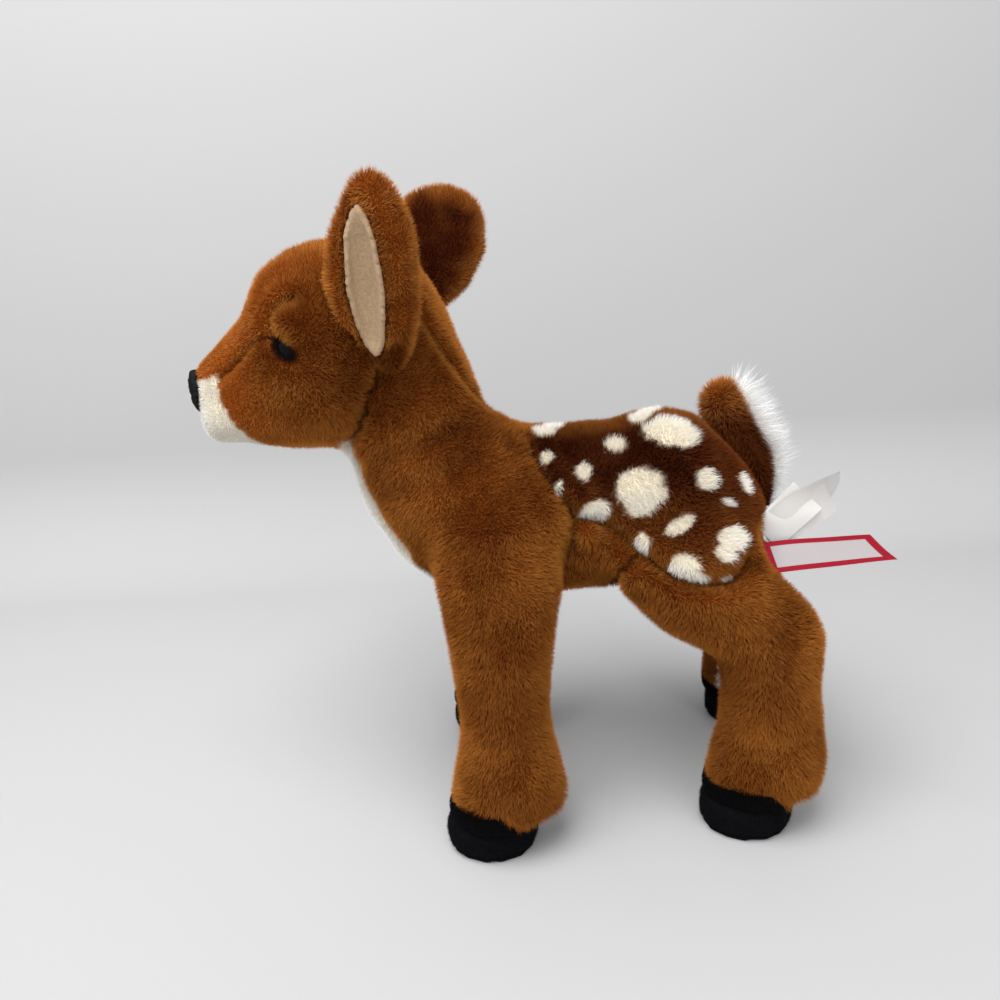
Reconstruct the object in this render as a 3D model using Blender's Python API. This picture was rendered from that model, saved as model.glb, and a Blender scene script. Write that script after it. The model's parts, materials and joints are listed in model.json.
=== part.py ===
"""A stuffed plush fawn, standing: sewn covers over stuffing, with every limb flexing at its seam.

Metres, +Z up, the nose towards -X and the fawn's left side towards -Y. The soles stand on Z = 0 and the
origin is under the middle of the whole toy. Each stuffed form is a loft through rings. A ring is given
by its low (or front) point, its high (or rear) point and its half width. A limb's loft runs on into the
bigger form: inside the seat, which is round about the limb's pivot, it belongs to the bigger form, and
outside the seat it belongs to the limb. So each limb turns in its seat without touching it.
"""
import math

import bmesh
import bpy
from mathutils import Matrix, Vector

# Driving dimensions of the stance
SHOULDER_X = -0.023
STRIDE = 0.100
STAND_HEIGHT = 0.200
BODY_WIDTH = 0.100
FRONT_TRACK = 0.108
REAR_TRACK = 0.100
REAR_RIGHT_STEP = 0.030

# Cloth, seams and clearances
CLOTH = 0.005
FELT_CLOTH = 0.0035
SEAM = 0.0003
FILL_GAP = 0.0007
SWING_GAP = 0.001
OVERRUN = 0.010
WELD = 0.00001
FLAT = math.radians(0.3)

# Neck and head
NECK_LENGTH = 0.100
NECK_DEPTH = 0.080
NECK_WIDTH = 0.080
NECK_TILT = math.radians(27)
HEAD_SIZE = 0.100
HEAD_WIDTH = 0.080
HEAD_SEAT = 0.048

# Legs and hooves
LEG_DEPTH = 0.050
LEG_WIDTH = 0.050
SHOULDER_SEAT = 0.055
HIP_SEAT = 0.045
HOOF_LENGTH = 0.048
HOOF_WIDTH = 0.040
HOOF_HEIGHT = 0.020
SOLE_THICKNESS = 0.0025

# Ears and tail
EAR_HEIGHTS = {"left": 0.083, "right": 0.091}
EAR_WIDTHS = {"left": 0.040, "right": 0.055}
EAR_THICKNESS = 0.024
EAR_FLARE = math.radians(14)
EAR_LEAN = {"left": math.radians(0), "right": math.radians(24)}
LINING_DEPTH = 0.009
LINING_THICKNESS = 0.0015
TAIL_LENGTH = 0.070
TAIL_DEPTH = 0.025
TAIL_WIDTH = 0.034
TAIL_CLOTH = 0.011

# Face
EYE_RADIUS = 0.0068
EYE_PROUD = 0.0022
SHANK_RADIUS = 0.002
WASHER_RADIUS = 0.0065
WASHER_THICKNESS = 0.0015
NOSE_WIDTH = 0.024
NOSE_HEIGHT = 0.021
NOSE_DEPTH = 0.020
NOSE_THICKNESS = 0.0028

# Labels
RIBBON_LENGTH = 0.0597
RIBBON_WIDTH = 0.018
RIBBON_THICKNESS = 0.0008
CARE_LENGTH = 0.047
CARE_WIDTH = 0.020
CARE_THICKNESS = 0.0006
CARE_SPACING = 0.001

# How far each seam flexes, in degrees; the neck turns on its own axis between flat seams, so it needs
# no room
HEAD_NOD = (-12, 12)
LEG_SWING = (-8, 8)
EAR_FLOP = (-8, 40)
TAIL_LIFT = (0, 60)
RIBBON_FLAP = (-15, 15)
CARE_FLAP = (-15, 2)
LONGEST_STEP = 30

# Sides of the sections and counts of the round forms
TRUNK_SIDES = 16
HEAD_SIDES = 14
LIMB_SIDES = 12
EAR_SIDES = 10
TAIL_SIDES = 10
SCOOP_SIDES = 8
HOOF_SIDES = 14
FILL_SIDES = 10
LIMB_FILL_SIDES = 8
SEAT_SIDES = 24
BALL_SIDES = 24
NOSE_SIDES = 14
DOME_SIDES = 14
WASHER_SIDES = 14
SHANK_SIDES = 8

# Where the pivots lie: heights of the shoulder and hip, the foot of the neck's middle line, and the two
# pivots on it, as shares of the standing height, the stride and the neck's depth and length
SHOULDER_RISE_SHARE = 0.95
HIP_RISE_SHARE = 0.91
NECK_BASE_SHARES = (-0.19, 0.9075)
NECK_PIVOT_SHARES = (-0.10, 0.155)
HEAD_PIVOT_SHARES = (-0.4625, 0.765)

# Places worked out from the driving dimensions
SHOULDER = Vector((SHOULDER_X, 0, SHOULDER_RISE_SHARE * STAND_HEIGHT))
HIP = Vector((SHOULDER_X + STRIDE, 0, HIP_RISE_SHARE * STAND_HEIGHT))
NECK_BASE = Vector((SHOULDER_X + NECK_BASE_SHARES[0] * STRIDE, 0, NECK_BASE_SHARES[1] * STAND_HEIGHT))
NECK_PIVOT = NECK_BASE + Vector((NECK_PIVOT_SHARES[0] * NECK_DEPTH, 0, NECK_PIVOT_SHARES[1] * NECK_LENGTH))
NECK_AXIS = Vector((-math.sin(NECK_TILT), 0, math.cos(NECK_TILT)))
HEAD_PIVOT = NECK_BASE + Vector((HEAD_PIVOT_SHARES[0] * NECK_DEPTH, 0, HEAD_PIVOT_SHARES[1] * NECK_LENGTH))
ALONG_Y = Vector((0, 1, 0))
ALONG_X = Vector((1, 0, 0))

# Rings of the body, rump to chest: low x, low z, high x, high z, half width, as shares of the stride
# behind the shoulder, the standing height and the body's width
BODY_SHARES = (
    (1.45, 0.740, 1.47, 0.820, 0.12),
    (1.42, 0.685, 1.39, 0.900, 0.28),
    (1.29, 0.655, 1.26, 0.985, 0.40),
    (1.09, 0.640, 1.10, 1.060, 0.47),
    (0.89, 0.615, 0.91, 1.090, 0.49),
    (0.64, 0.605, 0.66, 1.060, 0.46),
    (0.36, 0.605, 0.42, 1.055, 0.46),
    (-0.02, 0.600, 0.28, 1.055, 0.49),
    (-0.31, 0.650, 0.19, 1.065, 0.49),
    (-0.49, 0.730, 0.11, 1.085, 0.46),
)
# Rings of the neck, from the chest up into the head: throat x, z, nape x, z, half width, as shares of
# the neck's depth, length and width from the neck's base
NECK_SHARES = (
    (-0.525, -0.155, 0.275, 0.415, 0.525),
    (-0.610, 0.035, 0.210, 0.545, 0.450),
    (-0.660, 0.255, 0.150, 0.695, 0.410),
    (-0.650, 0.465, 0.075, 0.885, 0.390),
    (-0.610, 0.685, -0.025, 1.045, 0.340),
    (-0.490, 0.935, -0.240, 1.085, 0.160),
)
# Rings of the head, nose to nape: jaw x, z, crown x, z as shares of the head's size from the nodding
# pivot, and half width as a share of its width
HEAD_SHARES = (
    (-0.885, -0.250, -0.890, -0.140, 0.055),
    (-0.850, -0.345, -0.865, -0.070, 0.135),
    (-0.790, -0.430, -0.810, -0.005, 0.195),
    (-0.700, -0.475, -0.715, 0.075, 0.245),
    (-0.590, -0.505, -0.595, 0.170, 0.300),
    (-0.480, -0.520, -0.490, 0.380, 0.390),
    (-0.350, -0.535, -0.350, 0.475, 0.475),
    (-0.190, -0.530, -0.170, 0.520, 0.525),
    (-0.040, -0.470, 0.020, 0.515, 0.510),
    (0.100, -0.360, 0.200, 0.440, 0.440),
    (0.220, -0.200, 0.340, 0.300, 0.310),
    (0.310, -0.050, 0.390, 0.140, 0.150),
)
# Rings of a leg, top to cuff: front x, z, rear x, z, distance out, half width, as shares of the leg's
# depth behind its pivot, the standing height, half the track and the leg's width
FRONT_LEG_SHARES = (
    (-0.32, 0.940, 0.36, 0.940, 0.670, 0.18),
    (-0.58, 0.850, 0.60, 0.860, 0.740, 0.36),
    (-0.60, 0.750, 0.68, 0.750, 0.810, 0.43),
    (-0.56, 0.660, 0.67, 0.660, 0.870, 0.45),
    (-0.50, 0.560, 0.60, 0.560, 0.910, 0.45),
    (-0.45, 0.450, 0.53, 0.450, 0.935, 0.44),
    (-0.44, 0.330, 0.53, 0.330, 0.960, 0.44),
    (-0.58, 0.175, 0.68, 0.175, 0.990, 0.51),
    (-0.66, 0.105, 0.64, 0.100, 1.000, 0.50),
    (-0.64, 0.045, 0.48, 0.030, 1.000, 0.42),
)
REAR_LEG_SHARES = (
    (-0.32, 0.900, 0.32, 0.890, 0.720, 0.18),
    (-0.74, 0.815, 0.64, 0.800, 0.800, 0.36),
    (-0.88, 0.730, 0.72, 0.720, 0.870, 0.42),
    (-0.76, 0.660, 0.96, 0.665, 0.910, 0.44),
    (-0.54, 0.595, 1.17, 0.608, 0.940, 0.46),
    (-0.22, 0.545, 1.29, 0.540, 0.960, 0.47),
    (0.09, 0.500, 1.28, 0.480, 0.980, 0.46),
    (0.23, 0.430, 1.25, 0.420, 0.990, 0.45),
    (0.21, 0.300, 1.29, 0.300, 1.000, 0.45),
    (0.10, 0.180, 1.36, 0.180, 1.000, 0.51),
    (0.05, 0.110, 1.32, 0.105, 1.000, 0.50),
    (0.04, 0.045, 1.16, 0.030, 1.000, 0.42),
)
# Rings of a hoof, below the floor to inside the cuff: height, half length, half width, as shares of the
# hoof's height, length and width
HOOF_SHARES = (
    (-0.30, 0.38, 0.36),
    (0.00, 0.46, 0.45),
    (0.30, 0.50, 0.50),
    (0.75, 0.50, 0.50),
    (1.05, 0.40, 0.42),
)
FRONT_HOOF_SHARE = -0.16
REAR_HOOF_SHARE = 0.53
# Rings of each ear, root to tip: height, front, rear and half thickness, as shares of its height, width
# and thickness, the right one bent back at its root; those of the lined hollow are height, half width
# and half depth
EAR_SHARES = {
    "left": (
        (-0.05, -0.12, 0.10, 0.17),
        (0.10, -0.35, 0.30, 0.33),
        (0.275, -0.56, 0.42, 0.46),
        (0.50, -0.60, 0.46, 0.50),
        (0.725, -0.47, 0.45, 0.44),
        (0.89, -0.27, 0.33, 0.31),
        (0.97, -0.15, 0.22, 0.20),
        (1.01, -0.04, 0.10, 0.07),
    ),
    "right": (
        (-0.05, -0.12, 0.10, 0.17),
        (0.10, -0.35, 0.14, 0.33),
        (0.275, -0.52, 0.20, 0.46),
        (0.50, -0.58, 0.40, 0.50),
        (0.725, -0.60, 0.44, 0.44),
        (0.89, -0.46, 0.33, 0.31),
        (0.97, -0.30, 0.23, 0.20),
        (1.01, -0.14, 0.10, 0.07),
    ),
}
HOLLOW_SHARES = (
    (0.04, 0.05, 0.40),
    (0.175, 0.12, 0.80),
    (0.44, 0.18, 1.00),
    (0.69, 0.155, 0.90),
    (0.875, 0.08, 0.45),
)
HOLLOW_PLACE_SHARE = -0.12
EAR_ROOT_SHARES = (0.15, 0.43, -0.08)
# Rings of the tail, root to tip: front x, z, rear x, z and half width, as shares of the tail's depth,
# length and width from its root
TAIL_SHARES = (
    (-0.12, 0.000, 0.16, -0.043, 0.18),
    (-0.16, 0.114, 0.22, 0.114, 0.27),
    (-0.50, 0.300, 0.20, 0.300, 0.38),
    (-0.86, 0.486, 0.06, 0.490, 0.47),
    (-1.24, 0.629, -0.20, 0.657, 0.50),
    (-1.42, 0.800, -0.44, 0.814, 0.44),
    (-1.32, 0.943, -0.62, 0.943, 0.30),
    (-1.12, 1.000, -0.84, 1.000, 0.12),
)
TAIL_ROOT_SHARES = (1.47, 0.800)
# Corners of the dark back panel: shares of the stride behind the shoulder and of the standing height
BACK_PANEL_SHARES = ((0.23, 1.30), (0.39, 0.86), (0.53, 0.855), (0.56, 0.50), (1.80, 0.50), (1.80, 1.30))
# Upper edge of the cream strip that runs from the throat under the belly, in the same shares
CREAM_SHARES = (
    (1.80, 0.40),
    (1.80, 0.73),
    (0.06, 0.73),
    (-0.22, 0.82),
    (-0.34, 0.97),
    (-0.46, 1.20),
    (-0.54, 1.31),
    (-1.20, 1.31),
    (-1.20, 0.40),
)
CREAM_HALF_SHARE = 0.18
# Corners of the cream muzzle and chin, and of the gusset over the nose and brow, as shares of the
# head's size from the nodding pivot
MUZZLE_SHARES = (
    (-1.10, -0.13),
    (-0.90, -0.13),
    (-0.70, -0.10),
    (-0.69, -0.24),
    (-0.65, -0.32),
    (-0.59, -0.38),
    (-0.52, -0.44),
    (-0.17, -0.49),
    (-0.05, -0.80),
    (-1.10, -0.80),
)
GUSSET_SHARES = ((-1.10, -0.02), (-0.80, -0.04), (-0.45, 0.20), (0.60, 0.10), (0.60, 0.80), (-1.10, 0.80))
GUSSET_HALF_SHARE = 0.16
LEG_PANEL_SHARE = 0.86
LEG_PANEL_LEAN = math.radians(6)
EYE_SHARES = (-0.325, 0.050)
EYE_SPAN_SHARE = 0.47
NOSE_SHARES = (-0.885, -0.190)
RIBBON_ROOT_SHARES = (1.36, -0.36, 0.715)
RIBBON_RISE = math.radians(2)
RIBBON_ROLL = math.radians(38)
CARE_ROOT_SHARES = (1.40, -0.22, 0.755)
CARE_RISES = (math.radians(38), math.radians(30), math.radians(45))
CARE_LENGTH_SHARES = (1.0, 0.8, 0.62)

SIDES = {"left": -1, "right": 1}

for old in list(bpy.data.objects):
    bpy.data.objects.remove(old, do_unlink=True)

fawn = bpy.data.collections.new("plush_fawn")
forms = bpy.data.collections.new("forms_and_cutters")
bpy.context.scene.collection.children.link(fawn)
bpy.context.scene.collection.children.link(forms)


def make_material(name, colour, roughness):
    """Return a plain finish."""
    material = bpy.data.materials.new(name)
    material.use_nodes = True
    shader = material.node_tree.nodes["Principled BSDF"]
    shader.inputs["Base Color"].default_value = (*colour, 1)
    shader.inputs["Roughness"].default_value = roughness
    shader.inputs["Metallic"].default_value = 0
    return material


BROWN = make_material("brown_plush", (0.30, 0.10, 0.025), 0.9)
DARK = make_material("spotted_plush", (0.13, 0.03, 0.01), 0.9)
CREAM = make_material("cream_plush", (0.83, 0.77, 0.66), 0.9)
SUEDE = make_material("ear_suede", (0.52, 0.37, 0.27), 0.85)
FELT = make_material("black_felt", (0.012, 0.012, 0.014), 0.95)
THREAD = make_material("black_thread", (0.015, 0.014, 0.014), 0.6)
GLOSS = make_material("eye_plastic", (0.01, 0.01, 0.012), 0.08)
RIBBON = make_material("red_ribbon", (0.55, 0.03, 0.05), 0.5)
SATIN = make_material("white_satin", (0.86, 0.86, 0.84), 0.4)
STUFFING = make_material("stuffing", (0.85, 0.85, 0.83), 0.95)
NYLON = make_material("washer_plastic", (0.75, 0.75, 0.72), 0.4)


def add_form(name, mesh):
    """Put a mesh in the scene as a construction form, which isn't a sub-part."""
    form = bpy.data.objects.new(name, mesh)
    forms.objects.link(form)
    form.hide_render = True
    form.display_type = "WIRE"
    return form


def evaluated_mesh(source):
    """Return the mesh of an object with its modifiers applied, in few triangles."""
    bpy.context.view_layer.update()
    graph = bpy.context.evaluated_depsgraph_get()
    mesh = bpy.data.meshes.new_from_object(source.evaluated_get(graph))
    shape = bmesh.new()
    shape.from_mesh(mesh)
    bmesh.ops.remove_doubles(shape, verts=shape.verts, dist=WELD)
    bmesh.ops.dissolve_degenerate(shape, edges=shape.edges, dist=WELD)
    plain = shape.copy()
    bmesh.ops.dissolve_limit(plain, angle_limit=FLAT, verts=plain.verts, edges=plain.edges)
    for form in (plain, shape):
        bmesh.ops.triangulate(form, faces=form.faces)
    closed = all(edge.is_manifold for edge in plain.edges)
    (plain if closed else shape).to_mesh(mesh)
    plain.free()
    shape.free()
    return mesh


def section_ring(low, high, out=0.0, half_width=0.0):
    """Return a ring's centre, its half axis in the side view and its half width."""
    low_point = Vector((low[0], out, low[1]))
    high_point = Vector((high[0], out, high[1]))
    return (low_point + high_point) / 2, (high_point - low_point) / 2, half_width


def inset_rings(rings, inset):
    """Return the rings drawn in by a cloth thickness, the first and last also along the form."""
    least_share = 0.3
    drawn = []
    for centre, half_axis, half_width in rings:
        length = half_axis.length
        new_length = max(length - inset, least_share * length)
        new_width = max(half_width - inset, least_share * half_width)
        drawn.append([centre.copy(), half_axis * (new_length / length), new_width])
    for end, neighbour in ((0, 1), (-1, -2)):
        along = (rings[neighbour][0] - rings[end][0]).normalized()
        drawn[end][0] += along * inset
    return drawn


def every_other(rings):
    """Return the rings for a plainer form inside: the first, every other one and the last."""
    return [ring for i, ring in enumerate(rings) if i % 2 == 0 or i == len(rings) - 1]


def loft(name, rings, segments, inset=0.0):
    """Skin rings into one closed form, drawn in or let out by an inset where one is given."""
    if inset:
        rings = inset_rings(rings, inset)
    step = 2 * math.pi / segments
    cage = bmesh.new()
    loops = []
    for centre, half_axis, half_width in rings:
        side = ALONG_Y * half_width
        loops.append([
            cage.verts.new(centre + half_axis * math.cos(i * step) + side * math.sin(i * step))
            for i in range(segments)
        ])
    for first, second in zip(loops, loops[1:]):
        for i in range(segments):
            j = (i + 1) % segments
            cage.faces.new((first[i], first[j], second[j], second[i]))
    cage.faces.new(loops[0])
    cage.faces.new(loops[-1])
    bmesh.ops.recalc_face_normals(cage, faces=cage.faces)
    bmesh.ops.triangulate(cage, faces=cage.faces, quad_method="FIXED")
    mesh = bpy.data.meshes.new(name)
    cage.to_mesh(mesh)
    cage.free()
    return add_form(name, mesh)


def combine(name, base, add=(), keep=(), cut=()):
    """Return a copy of a form with others joined to it, kept within or cut away."""
    form = add_form(name, base.data.copy())
    form.matrix_world = base.matrix_world
    for operation, tools in (("UNION", add), ("INTERSECT", keep), ("DIFFERENCE", cut)):
        for tool in tools:
            step = form.modifiers.new(operation.lower(), "BOOLEAN")
            step.operation = operation
            step.solver = "EXACT"
            step.object = tool
    form.data = evaluated_mesh(form)
    form.modifiers.clear()
    return form


def extrude_outline(name, points, half_width, shift=(0, 0, 0)):
    """Return a prism across the toy from an outline in the side view."""
    prism = bmesh.new()
    near = [prism.verts.new((x + shift[0], -half_width, z + shift[2])) for x, z in points]
    far = [prism.verts.new((x + shift[0], half_width, z + shift[2])) for x, z in points]
    prism.faces.new(near)
    prism.faces.new(far)
    count = len(points)
    for i in range(count):
        j = (i + 1) % count
        prism.faces.new((near[i], near[j], far[j], far[i]))
    bmesh.ops.recalc_face_normals(prism, faces=prism.faces)
    mesh = bpy.data.meshes.new(name)
    prism.to_mesh(mesh)
    prism.free()
    return add_form(name, mesh)


def take(name):
    """Turn the object that a primitive operator has just made into a form."""
    made = bpy.context.object
    bpy.context.view_layer.update()
    mesh = made.data
    mesh.transform(made.matrix_world)
    mesh.name = name
    bpy.data.objects.remove(made)
    return add_form(name, mesh)


def make_box(name, centre, size, turn=(0, 0, 0)):
    """Return a box form."""
    bpy.ops.mesh.primitive_cube_add(size=1, location=centre, rotation=turn)
    bpy.context.object.scale = size
    return take(name)


def make_drum(name, centre, radius, length, turn=(math.pi / 2, 0, 0), sides=SEAT_SIDES):
    """Return a cylinder form, lying across the toy unless it is turned."""
    bpy.ops.mesh.primitive_cylinder_add(
        vertices=sides, radius=radius, depth=length, location=centre, rotation=turn
    )
    return take(name)


def make_ball(name, centre, size, segments=BALL_SIDES):
    """Return an ellipsoid form from its three half sizes, its poles on the toy's left and right."""
    bpy.ops.mesh.primitive_uv_sphere_add(
        segments=segments, ring_count=segments // 2, radius=1, location=centre, rotation=(math.pi / 2, 0, 0)
    )
    bpy.context.object.scale = (size[0], size[2], size[1])
    return take(name)


def turned(source, pivot, axis, degrees):
    """Return a copy of a form, turned about an axis through a pivot."""
    mesh = source.data.copy()
    turn = Matrix.Rotation(math.radians(degrees), 4, axis)
    mesh.transform(Matrix.Translation(pivot) @ turn @ Matrix.Translation(-pivot))
    return add_form(source.name + "_turned", mesh)


def swept(source, pivot, axis, limits, reverse=False):
    """Return copies of a form at rest and on the way to its joint's limits, or as the child sees it."""
    sign = -1 if reverse else 1
    angles = {0}
    for limit in limits:
        count = math.ceil(abs(limit) / LONGEST_STEP)
        angles.update(limit * (i + 1) / count for i in range(count))
    angles = sorted(angles)
    return [turned(source, pivot, axis, sign * angle) for angle in angles]


def publish(name, form, material, parent=None):
    """Make a finished form a sub-part, measured from its body's pivot where it has one."""
    piece = bpy.data.objects.new(name, form.data.copy())
    fawn.objects.link(piece)
    piece.data.name = name
    piece.data.materials.clear()
    piece.data.materials.append(material)
    if parent:
        piece.data.transform(Matrix.Translation(-parent.location))
        piece.parent = parent
    piece.data.shade_smooth()
    return piece


def add_pivot(name, place):
    """Return the empty that a moving body hangs on."""
    pivot = bpy.data.objects.new(name, None)
    fawn.objects.link(pivot)
    pivot.location = place
    pivot.empty_display_size = CLOTH
    return pivot


# Body and neck forms
def trunk_rings():
    """Return the rings of the trunk, which runs from the rump through the neck into the head."""
    rings = []
    for low_x, low_z, high_x, high_z, half in BODY_SHARES:
        low = (SHOULDER_X + low_x * STRIDE, low_z * STAND_HEIGHT)
        high = (SHOULDER_X + high_x * STRIDE, high_z * STAND_HEIGHT)
        rings.append(section_ring(low, high, half_width=half * BODY_WIDTH))
    for low_x, low_z, high_x, high_z, half in NECK_SHARES:
        low = (NECK_BASE.x + low_x * NECK_DEPTH, NECK_BASE.z + low_z * NECK_LENGTH)
        high = (NECK_BASE.x + high_x * NECK_DEPTH, NECK_BASE.z + high_z * NECK_LENGTH)
        rings.append(section_ring(low, high, half_width=half * NECK_WIDTH))
    return rings


def head_rings():
    """Return the rings of the head, from the nose to the nape."""
    rings = []
    for low_x, low_z, high_x, high_z, half in HEAD_SHARES:
        low = (HEAD_PIVOT.x + low_x * HEAD_SIZE, HEAD_PIVOT.z + low_z * HEAD_SIZE)
        high = (HEAD_PIVOT.x + high_x * HEAD_SIZE, HEAD_PIVOT.z + high_z * HEAD_SIZE)
        rings.append(section_ring(low, high, half_width=half * HEAD_WIDTH))
    return rings


def leg_rings(shares, pivot, track, side, step):
    """Return the rings of a leg, with its foot set back by a step that grows down from the pivot."""
    rings = []
    for low_x, low_z, high_x, high_z, out, half in shares:
        points = []
        for share_x, share_z in ((low_x, low_z), (high_x, high_z)):
            height = share_z * STAND_HEIGHT
            back = step * max(0, 1 - height / pivot.z)
            points.append((pivot.x + share_x * LEG_DEPTH + back, height))
        rings.append(section_ring(*points, out=side * out * track / 2, half_width=half * LEG_WIDTH))
    return rings


def hoof_rings(place, side_place, inset=0.0):
    """Return the rings of a hoof, stacked upwards."""
    rings = []
    for height, half_length, half_width in HOOF_SHARES:
        half = half_length * HOOF_LENGTH - inset
        z = height * HOOF_HEIGHT
        low, high = (place - half, z), (place + half, z)
        rings.append(section_ring(low, high, out=side_place, half_width=half_width * HOOF_WIDTH - inset))
    return rings


WHOLE = 4 * STAND_HEIGHT
trunk_outer = loft("trunk_outer", trunk_rings(), TRUNK_SIDES)
trunk_inner = loft("trunk_inner", every_other(trunk_rings()), FILL_SIDES, inset=CLOTH)
trunk_core = loft("trunk_core", every_other(trunk_rings()), FILL_SIDES, inset=CLOTH + FILL_GAP)
above_neck = make_box(
    "above_neck", NECK_PIVOT + NECK_AXIS * (WHOLE - SEAM) / 2, (WHOLE, WHOLE, WHOLE), (0, -NECK_TILT, 0)
)
below_neck = make_box(
    "below_neck", NECK_PIVOT - NECK_AXIS * (WHOLE - SEAM) / 2, (WHOLE, WHOLE, WHOLE), (0, -NECK_TILT, 0)
)

# Leg forms, and the pockets that they need in the body
LEGS = {}
for side_name, side in SIDES.items():
    for end, shares, pivot, track, seat, hoof_share in (
        ("front", FRONT_LEG_SHARES, SHOULDER, FRONT_TRACK, SHOULDER_SEAT, FRONT_HOOF_SHARE),
        ("rear", REAR_LEG_SHARES, HIP, REAR_TRACK, HIP_SEAT, REAR_HOOF_SHARE),
    ):
        leg = f"{end}_{side_name}"
        step = REAR_RIGHT_STEP if leg == "rear_right" else 0
        rings = leg_rings(shares, pivot, track, side, step)
        outer = loft(f"leg_{leg}_outer", rings, LIMB_SIDES)
        fat = loft(f"leg_{leg}_fat", rings, LIMB_SIDES, inset=-SWING_GAP)
        inner = loft(f"leg_{leg}_inner", every_other(rings), LIMB_FILL_SIDES, inset=CLOTH)
        core = loft(f"leg_{leg}_core", every_other(rings), LIMB_FILL_SIDES, inset=CLOTH + FILL_GAP)
        bump = make_drum(f"seat_{leg}", pivot, seat, WHOLE)
        beyond = make_drum(f"seat_{leg}_beyond", pivot, seat + OVERRUN, WHOLE)
        brim = make_drum(f"seat_{leg}_brim", pivot, seat + SEAM / 2, WHOLE)
        hollow = make_drum(f"seat_{leg}_clear", pivot, (seat + SEAM) / math.cos(math.pi / SEAT_SIDES), WHOLE)
        swings = swept(fat, pivot, ALONG_Y, LEG_SWING)
        LEGS[leg] = {
            "side": side,
            "pivot": pivot,
            "outer": outer,
            "inner": inner,
            "core": core,
            "fat": fat,
            "bump": bump,
            "beyond": beyond,
            "hollow": hollow,
            "hoof_x": pivot.x + hoof_share * LEG_DEPTH + step,
            "hoof_y": side * track / 2,
            "track": track,
            "pocket": combine(f"leg_{leg}_pocket", swings[0], add=swings[1:], cut=[brim]),
        }

haunches = [combine(f"haunch_{leg}", data["outer"], keep=[data["bump"]]) for leg, data in LEGS.items()]
hollows = [combine(f"haunch_{leg}_in", data["inner"], keep=[data["beyond"]]) for leg, data in LEGS.items()]
cores = [combine(f"haunch_{leg}_core", data["core"], keep=[data["bump"]]) for leg, data in LEGS.items()]
pockets = [data["pocket"] for data in LEGS.values()]
body_outer = combine("body_outer", trunk_outer, add=haunches, cut=[above_neck])
body_inner = combine("body_inner", trunk_inner, add=hollows)
body_core = combine("body_core", trunk_core, add=cores)
body_skin = combine("body_skin", body_outer, cut=[body_inner, *pockets])


def body_points(shares):
    """Return points of the body's side view from shares of the stride and the standing height."""
    return [(SHOULDER_X + x * STRIDE, z * STAND_HEIGHT) for x, z in shares]


def head_points(shares):
    """Return points of the head's side view from shares of the head's size."""
    return [(HEAD_PIVOT.x + x * HEAD_SIZE, HEAD_PIVOT.z + z * HEAD_SIZE) for x, z in shares]


back_region = extrude_outline("back_region", body_points(BACK_PANEL_SHARES), WHOLE)
back_cut = extrude_outline("back_cut", body_points(BACK_PANEL_SHARES), WHOLE, (-SEAM, 0, -SEAM))
cream_half = CREAM_HALF_SHARE * BODY_WIDTH
cream_region = extrude_outline("cream_region", body_points(CREAM_SHARES), cream_half)
cream_cut = extrude_outline("cream_cut", body_points(CREAM_SHARES), cream_half + SEAM, (SEAM, 0, SEAM))
middle = make_box("middle_seam", (0, 0, 0), (WHOLE, SEAM, WHOLE))
left_half = make_box("left_half", (0, -WHOLE / 2, 0), (WHOLE, WHOLE, WHOLE))

publish("belly_panel", combine("belly", body_skin, keep=[cream_region]), CREAM)
publish("back_panel", combine("back", body_skin, keep=[back_region], cut=[cream_cut]), DARK)
flanks = combine("flanks", body_skin, cut=[back_cut, cream_cut, middle])
publish("flank_left", combine("flank_l", flanks, keep=[left_half]), BROWN)
publish("flank_right", combine("flank_r", flanks, cut=[left_half]), BROWN)
publish("body_stuffing", combine("body_fill", body_core, cut=[above_neck, *pockets]), STUFFING)

# Neck
neck_body = add_pivot("neck_pivot", NECK_PIVOT)
head_rows = head_rings()
head_outer = loft("head_outer", head_rows, HEAD_SIDES)
head_fat = loft("head_fat", head_rows, HEAD_SIDES, inset=-SWING_GAP)
head_inner = loft("head_inner", every_other(head_rows), FILL_SIDES, inset=CLOTH)
head_core = loft("head_core", every_other(head_rows), FILL_SIDES, inset=CLOTH + FILL_GAP)
head_ball = make_ball("head_ball", HEAD_PIVOT, (HEAD_SEAT, HEAD_SEAT, HEAD_SEAT))
beyond_seat = HEAD_SEAT + OVERRUN
beyond_ball = make_ball("beyond_ball", HEAD_PIVOT, (beyond_seat, beyond_seat, beyond_seat))
ball_clear = HEAD_SEAT + 3 * SEAM
head_socket = make_ball("head_socket", HEAD_PIVOT, (ball_clear, ball_clear, ball_clear))
head_swings = swept(head_fat, HEAD_PIVOT, ALONG_Y, HEAD_NOD)
head_room = combine("head_room", head_socket, add=head_swings)
neck_outer = combine("neck_outer", trunk_outer, cut=[below_neck, head_room])
neck_skin = combine("neck_skin", neck_outer, cut=[trunk_inner])
publish("throat_panel", combine("throat", neck_skin, keep=[cream_region]), CREAM, neck_body)
publish("neck_cover", combine("neck", neck_skin, cut=[cream_cut]), BROWN, neck_body)
publish("neck_stuffing", combine("neck_fill", trunk_core, cut=[below_neck, head_room]), STUFFING, neck_body)

# Head
head_body = add_pivot("head_pivot", HEAD_PIVOT)
skull = combine("skull", head_outer, add=[combine("nape", trunk_outer, keep=[head_ball])])
skull_inner = combine("skull_inner", head_inner, add=[combine("nape_in", trunk_inner, keep=[beyond_ball])])
skull_core = combine("skull_core", head_core, add=[combine("nape_core", trunk_core, keep=[head_ball])])

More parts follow.
